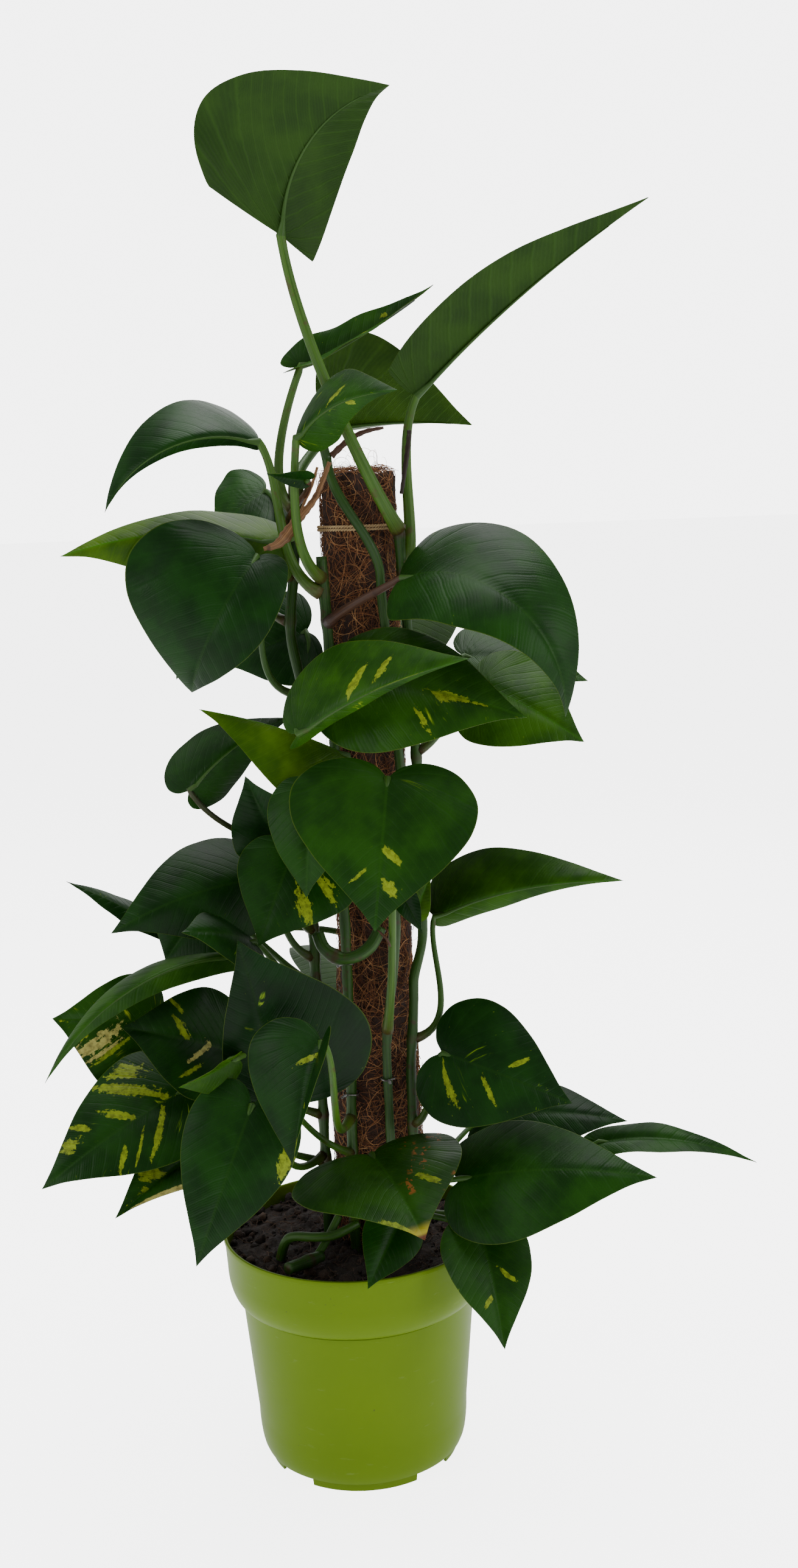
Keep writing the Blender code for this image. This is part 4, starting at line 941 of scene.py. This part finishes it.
def build_wisps(rng, fibre):
    """Wisps that have worked loose: curls at the top and off the sides, and ends lying over the top."""
    wisps = Bundle()
    for k in range(CURLS):
        top = k < CURLS_ON_TOP
        turn = rng.uniform(0, 2 * pi)
        z0 = POLE_TOP - rng.uniform(-0.004, 0.012) if top else rng.uniform(SOIL_TOP + 0.02, POLE_TOP - 0.02)
        heading, swirl = rng.uniform(0, 2 * pi), rng.uniform(0.6, 1.6) * rng.choice((-1, 1))
        size, s = rng.uniform(0.003, 0.008), np.linspace(0, rng.uniform(2.0, 5.0), 16)
        outward = np.array((cos(turn), sin(turn), 0.0))
        sideways = np.array((-sin(turn), cos(turn), 0.0))
        depth = rng.uniform(0.3, 1.0) if top else 1.0
        start = np.array((POLE_X, POLE_Y, z0)) + outward * (sleeve_radius(z0, turn) * depth - 0.001)
        loop = size * (np.outer(np.sin(s * swirl + heading) - sin(heading), sideways)
                       + np.outer(np.cos(heading) - np.cos(s * swirl + heading), (0, 0, 1)))
        path = start + loop + np.outer(s, outward) * rng.uniform(0.0003, 0.0013)
        wisps.take(tube(path, np.full(16, rng.uniform(0.00010, 0.00018)), 3), rng.uniform(0.4, 0.95))
    for _ in range(TOP_ENDS):
        turn, heading, span = rng.uniform(0, 2 * pi), rng.uniform(0, 2 * pi), rng.uniform(0.010, 0.024)
        mid = np.array((cos(turn), sin(turn), 0)) * POLE_RADIUS * sqrt(rng.uniform(0.10, 0.62))
        mid = mid + (POLE_X, POLE_Y, POLE_TOP)
        s = np.linspace(-0.5, 0.5, 8)
        arch = rng.uniform(-0.002, 0.002) + 0.012 * (0.25 - s ** 2) * rng.uniform(0, 1)
        path = mid + np.outer(s * span, (cos(heading), sin(heading), 0)) + np.outer(arch, (0, 0, 1))
        wisps.take(tube(path, np.full(8, 0.00015), 3), rng.uniform(0.2, 0.9))
    place_piece(wisps.piece("coir_wisps", [fibre]), "coir")


def dress_stake():
    g = Graph("stake_wood")
    grain = g.noise(g.vector(*[g.times(c, k) for c, k in zip(g.split(g.place()), (400.0, 400.0, 12.0))]),
                    1.0, 4)
    stake_mat = g.finish(g.ramp(grain, (0.3, (0.16, 0.09, 0.045)), (0.7, (0.36, 0.24, 0.13))),
                         g.line(grain, 0.2, 0.6), g.bump(grain, 0.4, 0.0005))
    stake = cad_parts["pole_stake"]
    stake.data.materials.clear()
    stake.data.materials.append(stake_mat)


def build_pole():
    rng = np.random.default_rng(11)
    build_sleeve()
    fibre = coir_skin()
    build_fibres(rng, fibre)
    build_wisps(rng, fibre)
    dress_stake()


def build_twine():
    """Two-ply straw twine wound round the sleeve near its top."""
    g = Graph("straw_twine")
    along, around, _ = g.split(g.uv("flat"))
    hairs = g.noise(g.vector(g.times(along, 60.0), g.times(around, 4000.0)), 1.0, 3)
    mat = g.finish(g.ramp(hairs, (0.3, (0.22, 0.12, 0.045)), (0.7, (0.55, 0.40, 0.20))),
                   g.line(hairs, 0.15, 0.7), g.bump(hairs, 0.6, 0.0004))
    bundle = Bundle()
    ring = POLE_RADIUS + 0.0011
    for start, rise in ((0.0, -0.0010), (pi, -0.0010), (0.0, 0.0010), (pi, 0.0010)):
        s = np.linspace(0, 2 * pi, 220)
        twist = 40 * s + start
        r = ring + 0.00055 * np.cos(twist)
        z = TWINE_HEIGHT + rise + 0.00055 * np.sin(twist)
        path = np.stack([POLE_X + r * np.cos(s), POLE_Y + r * np.sin(s), z], 1)
        bundle.take(tube(path, np.full(220, 0.00058), 6))
    place_piece(bundle.piece("twine_band_twisted", [mat]), "twine", "twine_band")


def build_ties():
    g = Graph("tie_wire", Metallic=1.0)
    tarnish = g.noise(g.place(), 300, 3)
    mat = g.finish(g.ramp(tarnish, (0.35, (0.10, 0.09, 0.08)), (0.7, (0.33, 0.33, 0.33))),
                   g.line(tarnish, 0.3, 0.25))
    for name, (vine, height) in TIES.items():
        centre = vine_point(vine, height)
        ring = VINES[vine][0] + 0.0015
        away = np.arctan2(centre[1] - POLE_Y, centre[0] - POLE_X)
        s = np.linspace(0.25, 2 * pi - 0.25, 40)
        wave = 0.0004 * np.sin(3 * s)
        loop = centre + np.stack([ring * np.cos(s + away), ring * np.sin(s + away), wave], 1)
        bundle = Bundle()
        bundle.take(tube(loop, np.full(40, TIE_WIRE), 8))
        # The two ends twisted together outwards
        tail = np.linspace(0, 1, 24)
        for start in (0.0, pi):
            twist = tail * 5 * pi + start
            out = np.array((cos(away), sin(away), 0.0))
            side = np.array((-sin(away), cos(away), 0.0))
            path = (centre + out * (ring + tail[:, None] * TAIL_LENGTH)
                    + np.outer(TIE_WIRE * np.cos(twist), side)
                    + np.outer(TIE_WIRE * np.sin(twist), (0, 0, 1)))
            bundle.take(tube(path, np.full(24, 0.0005), 6))
        place_piece(bundle.piece(name + "_twisted", [mat]), "tie_wire", name)


# ---------------------------------------------------------------- soil
CRUMBS, THREADS = 620, 240


def soil_skin():
    g = Graph("potting_soil")
    place = g.place()
    coarse, fine = g.noise(place, 110, 5, 0.65), g.noise(place, 520, 4, 0.6)
    tint = g.attribute("tint")
    value = g.plus(g.times(coarse, 0.7), g.times(tint, 0.4))
    colour = g.ramp(value, (0.30, (0.004, 0.002, 0.0012)), (0.50, (0.013, 0.0065, 0.0035)),
                    (0.68, (0.034, 0.017, 0.009)), (0.85, (0.085, 0.047, 0.026)))
    return g.finish(colour, g.line(fine, 0.2, 0.78), g.bump(g.plus(coarse, fine), 0.9, 0.0015))


def soil_surface(edge):
    """The lumpy top with a skirt down inside the pot, closed underneath."""
    rings, sides = 46, 120
    r = np.linspace(0.0, 1.0, rings)[:, None] ** 0.9 * edge
    a = np.linspace(0, 2 * pi, sides, endpoint=False)[None, :] * np.ones((rings, 1))
    x, y = r * np.cos(a), r * np.sin(a)
    lumps = (0.0012 * np.sin(230 * x + 3) * np.cos(190 * y) + 0.0009 * np.sin(410 * x - 350 * y)
             + 0.0007 * np.cos(620 * y + 510 * x + 1))
    z = SOIL_TOP + 0.0010 * (1 - r / edge) + lumps * np.minimum(1, (edge - r) * 200)
    z = z - 0.0015 * (r / edge) ** 8
    top = np.stack([x, y, z], -1)
    skirt = top[-1:] * (1, 1, 0) + (0, 0, SOIL_TOP - 0.02)
    hub = top[-1:] * (0, 0, 0) + (0, 0, SOIL_TOP - 0.02)
    grid = np.concatenate([top, skirt, hub])
    verts = grid.reshape(-1, 3)
    return verts, ring_faces(len(grid), sides, inward=True), verts[:, :2]


def build_soil():
    """The surface, with loose crumbs and bits of root on it."""
    mat, rng = soil_skin(), np.random.default_rng(5)
    edge = RIM_RADIUS - 0.0050
    bundle = Bundle()
    bundle.take(soil_surface(edge), 0.4)
    ball = bmesh.new()
    bmesh.ops.create_icosphere(ball, subdivisions=2, radius=1)
    sphere = np.array([p.co for p in ball.verts])
    sphere_faces = [tuple(p.index for p in f.verts) for f in ball.faces]
    ball.free()
    for _ in range(CRUMBS):
        rr, turn = edge * sqrt(rng.uniform(0.0, 0.97)), rng.uniform(0, 2 * pi)
        size = rng.choice((0.0011, 0.0017, 0.0026, 0.0040), p=(0.42, 0.33, 0.18, 0.07))
        shape = sphere * (1 + rng.normal(0, 0.16, len(sphere)))[:, None] * rng.uniform(0.55, 1.15, 3) * size
        spot = np.array((rr * cos(turn), rr * sin(turn), SOIL_TOP + size * 0.25))
        bundle.take((shape + spot, sphere_faces, shape[:, :2]), rng.uniform(0.0, 0.9))
    for k in range(THREADS):
        rr, turn = (edge - 0.008) * sqrt(rng.uniform(0.0, 1.0)), rng.uniform(0, 2 * pi)
        s = np.linspace(-0.5, 0.5, 7)
        heading, curl, span = rng.uniform(0, 2 * pi), rng.uniform(-1.5, 1.5), rng.uniform(0.006, 0.022)
        px = rr * cos(turn) + span * (s * cos(heading) - curl * s ** 2 * sin(heading))
        py = rr * sin(turn) + span * (s * sin(heading) + curl * s ** 2 * cos(heading))
        reach = np.minimum(1, edge / np.maximum(np.hypot(px, py), 1e-6))
        path = np.stack([px * reach, py * reach, SOIL_TOP + 0.0016 + 0.0012 * np.cos(s * 7 + k)], 1)
        bundle.take(tube(path, np.full(7, rng.uniform(0.00014, 0.0003)), 4), rng.uniform(0.7, 1.5))
    place_piece(bundle.piece("soil_crumbs", [mat]), "potting_soil", "soil")


# ---------------------------------------------------------------- pot
SHOULDER_STEPS, HEEL_STEPS = 14, 8


def shoulder_radius(share):
    """Quarter ellipse in from the collar, share from 0 at its top to 1 at the body."""
    top = RIM_RADIUS - LIP_STEP - 0.0012
    return BODY_TOP_RADIUS + (top - BODY_TOP_RADIUS) * sqrt(max(0.0, 1 - share ** 2))


def outer_wall():
    collar_z = POT_HEIGHT - COLLAR_HEIGHT
    body_z = collar_z - SHOULDER_HEIGHT
    wall = [(RIM_RADIUS - LIP_STEP, POT_HEIGHT - LIP_HEIGHT)]
    shares = [s / SHOULDER_STEPS for s in range(SHOULDER_STEPS + 1)]
    wall += [(shoulder_radius(share), collar_z - SHOULDER_HEIGHT * share) for share in shares]
    heel_z = FOOT_HEIGHT + HEEL_HEIGHT
    wall += [(BODY_TOP_RADIUS + 0.0004, body_z - 0.0006), (BODY_FOOT_RADIUS, heel_z)]
    narrow = FOOT_RADIUS + 0.0015
    for k in range(1, HEEL_STEPS + 1):
        share = k / HEEL_STEPS
        radius = narrow + (BODY_FOOT_RADIUS - narrow) * sqrt(1 - (share * 0.97) ** 2)
        wall.append((radius, heel_z - HEEL_HEIGHT * share))
    return wall


def lime_plastic():
    """Satin injection-moulded plastic with a faint mottle and a little soil smeared on it."""
    g = Graph("lime_plastic", Specular_IOR_Level=0.11)
    place = g.place()
    mottle = g.noise(place, 22, 3)
    pores = g.noise(place, 1300, 3)
    colour = g.mix(mottle, (0.098, 0.172, 0.0), (0.114, 0.196, 0.0))
    x, y, z = g.split(place)
    specks = g.times(g.step(g.noise(place, 420, 2, 0.6), 0.71, 0.74),
                    g.step(g.noise(place, 26, 1), 0.60, 0.70))
    colour = g.mix(g.times(specks, 0.8), colour, (0.05, 0.045, 0.02))
    scuff = g.step(g.noise(g.vector(x, y, g.times(z, 4.0)), 55, 4, 0.7), 0.62, 0.72)
    colour = g.mix(g.times(scuff, 0.06), colour, (0.5, 0.6, 0.3))
    roughness = g.plus(g.times(mottle, 0.12), g.plus(0.34, g.times(scuff, 0.1)))
    return g.finish(colour, roughness, g.bump(pores, 0.12, 0.0003))


def pot_cutter():
    """Boxes for the notches in the foot, and cylinders for the drain holes."""
    cuts = bmesh.new()
    for k in range(NOTCHES):
        box = bmesh.ops.create_cube(cuts, size=1)["verts"]
        turn = Matrix.Rotation(2 * pi * (k + 0.5) / NOTCHES, 4, "Z")
        bmesh.ops.scale(cuts, verts=box, vec=(0.016, NOTCH_WIDTH, 2 * FOOT_HEIGHT - 0.0012))
        bmesh.ops.translate(cuts, verts=box, vec=(FOOT_RADIUS - 0.002, 0, 0))
        bmesh.ops.transform(cuts, verts=box, matrix=turn)
    for k in range(DRAINS):
        ring = bmesh.ops.create_cone(cuts, cap_ends=True, segments=24, radius1=DRAIN_RADIUS,
                                     radius2=DRAIN_RADIUS, depth=4 * FLOOR)["verts"]
        bmesh.ops.translate(cuts, verts=ring, vec=(DRAIN_CIRCLE, 0, FOOT_HEIGHT + FLOOR / 2))
        bmesh.ops.transform(cuts, verts=ring, matrix=Matrix.Rotation(2 * pi * k / DRAINS, 4, "Z"))
    cutter_mesh = bpy.data.meshes.new("pot_cuts")
    cuts.to_mesh(cutter_mesh)
    cuts.free()
    return linked("pot_cuts", cutter_mesh)


def build_pot():
    wall = [(r - WALL, z) for r, z in outer_wall() if z > FOOT_HEIGHT + FLOOR + 0.002]
    inner = [(wall[-1][0] - 0.001, FOOT_HEIGHT + FLOOR)] + wall[::-1]
    mouth = RIM_RADIUS - 0.0024
    bead = [(mouth, POT_HEIGHT - 0.0007), (mouth + 0.0003, POT_HEIGHT - 0.0002), (mouth + 0.0008, POT_HEIGHT)]
    bead += [(RIM_RADIUS - 0.0008, POT_HEIGHT), (RIM_RADIUS - 0.0002, POT_HEIGHT - 0.0003),
             (RIM_RADIUS, POT_HEIGHT - 0.0009), (RIM_RADIUS, POT_HEIGHT - LIP_HEIGHT + 0.0005)]
    foot = [(FOOT_RADIUS, FOOT_HEIGHT - 0.0004), (FOOT_RADIUS - 0.0008, 0), (FOOT_RADIUS - 0.0028, 0),
            (FOOT_RADIUS - 0.0028, FOOT_HEIGHT), (PAD_RADIUS, FOOT_HEIGHT), (PAD_RADIUS, 0), (0, 0)]
    profile = [(0, FOOT_HEIGHT + FLOOR)] + inner + bead + outer_wall() + foot
    mesh = bpy.data.meshes.new("pot_lime")
    bm = bmesh.new()
    verts = [bm.verts.new((r, 0, z)) for r, z in profile]
    edges = [bm.edges.new(pair) for pair in zip(verts, verts[1:])]
    bmesh.ops.spin(bm, geom=verts + edges, cent=(0, 0, 0), axis=(0, 0, 1), angle=2 * pi, steps=144)
    bmesh.ops.remove_doubles(bm, verts=bm.verts, dist=0.00002)
    bmesh.ops.recalc_face_normals(bm, faces=bm.faces)
    bm.to_mesh(mesh)
    bm.free()
    pot = linked("pot_lime", mesh)
    cutter = pot_cutter()
    modifier = pot.modifiers.new("Cuts", "BOOLEAN")
    modifier.object = cutter
    bpy.context.view_layer.update()
    cut = bpy.data.meshes.new_from_object(pot.evaluated_get(bpy.context.evaluated_depsgraph_get()))
    pot.modifiers.clear()
    pot.data = cut
    bpy.data.objects.remove(cutter)
    cut.materials.clear()
    cut.materials.append(lime_plastic())
    cut.shade_smooth()
    cut.set_sharp_from_angle(angle=radians(35))
    place_piece(pot, "pot_plastic", "pot")


# ---------------------------------------------------------------- studio
# What the sky and the floor give the plant, and how bright the camera sees them
SKY_LIGHT, SKY_SEEN, FLOOR_GLOW, FLOOR_SEEN = 0.38, 5.4, 0.9, 4.5
FLOOR_REACH = 40.0
# The camera stands above the middle of the plant, tipped down and slightly rolled; degrees and mm
CAMERA_PLACE = (0.021, -1.16, 0.68)
CAMERA_PITCH, CAMERA_ROLL, CAMERA_YAW = -9.45, -2.13, 1.08
SENSOR_WIDTH, CAMERA_LENS = 36, 39.13


def build_floor():
    g = Graph("studio_floor", Specular_IOR_Level=0.1, Emission_Color=(1, 1, 1, 1))
    glow = g.step(g.add("ShaderNodeLightPath").outputs["Is Camera Ray"], 0.0, 1.0, FLOOR_GLOW, FLOOR_SEEN)
    g.feed(g.bsdf.inputs["Emission Strength"], glow)
    soft = g.noise(g.place(), 3, 2)
    floor_mat = g.finish(g.mix(soft, (0.88, 0.88, 0.88), (0.92, 0.92, 0.92)), g.plus(soft, 0.4))
    corners = [(x * FLOOR_REACH, y * FLOOR_REACH, 0) for x, y in ((-1, -1), (1, -1), (1, 1), (-1, 1))]
    floor = mesh_object("studio_floor", corners, [(0, 1, 2, 3)], [floor_mat])


def build_sky():
    world = bpy.data.worlds.new("studio")
    world.use_nodes = True
    tree = world.node_tree
    sky, seen = tree.nodes["Background"], tree.nodes.new("ShaderNodeBackground")
    ray, both = tree.nodes.new("ShaderNodeLightPath"), tree.nodes.new("ShaderNodeMixShader")
    for node, strength in ((sky, SKY_LIGHT), (seen, SKY_SEEN)):
        node.inputs["Color"].default_value = (1, 1, 1, 1)
        node.inputs["Strength"].default_value = strength
    tree.links.new(ray.outputs["Is Camera Ray"], both.inputs[0])
    tree.links.new(sky.outputs[0], both.inputs[1])
    tree.links.new(seen.outputs[0], both.inputs[2])
    tree.links.new(both.outputs[0], tree.nodes["World Output"].inputs["Surface"])
    bpy.context.scene.world = world


def build_lamps():
    for name, energy, size, where, aim in (
            ("overhead", 46, 1.5, (0.2, 0.3, 2.3), (0, 0, 0.5)),
            ("left_soft", 14, 1.0, (-1.7, -1.1, 1.3), (0, 0, 0.45)),
            ("right_soft", 14, 1.0, (1.8, -0.9, 1.2), (0, 0, 0.45)),
            ("back_soft", 10, 1.2, (0.3, 2.0, 1.4), (0, 0, 0.45))):
        light = bpy.data.lights.new(name, "AREA")
        light.energy, light.size = energy, size
        lamp = linked(name, light)
        lamp.location = where
        lamp.rotation_euler = (Vector(aim) - Vector(where)).to_track_quat("-Z", "Y").to_euler()


def build_camera():
    pitch, roll, yaw = (radians(angle) for angle in (CAMERA_PITCH, CAMERA_ROLL, CAMERA_YAW))
    ahead = Vector((sin(yaw) * cos(pitch), cos(yaw) * cos(pitch), sin(pitch)))
    level = ahead.cross(Vector((0, 0, 1))).normalized()
    above = level.cross(ahead)
    right, top = level * cos(roll) + above * sin(roll), above * cos(roll) - level * sin(roll)
    camera = bpy.data.cameras.new("camera")
    camera.sensor_width = SENSOR_WIDTH
    camera.lens = CAMERA_LENS
    viewer = linked("camera", camera)
    turn = Matrix((right, top, -ahead)).transposed().to_4x4()
    viewer.matrix_world = Matrix.Translation(CAMERA_PLACE) @ turn
    bpy.context.scene.camera = viewer


STEM_SKINS = {kind: stem_skin(kind) for kind in PETIOLE_COLOURS}
build_floor()
build_sky()
build_lamps()
build_camera()
build_pot()
build_soil()
build_pole()
build_twine()
build_ties()
build_vines()
build_extras()
build_leaves()
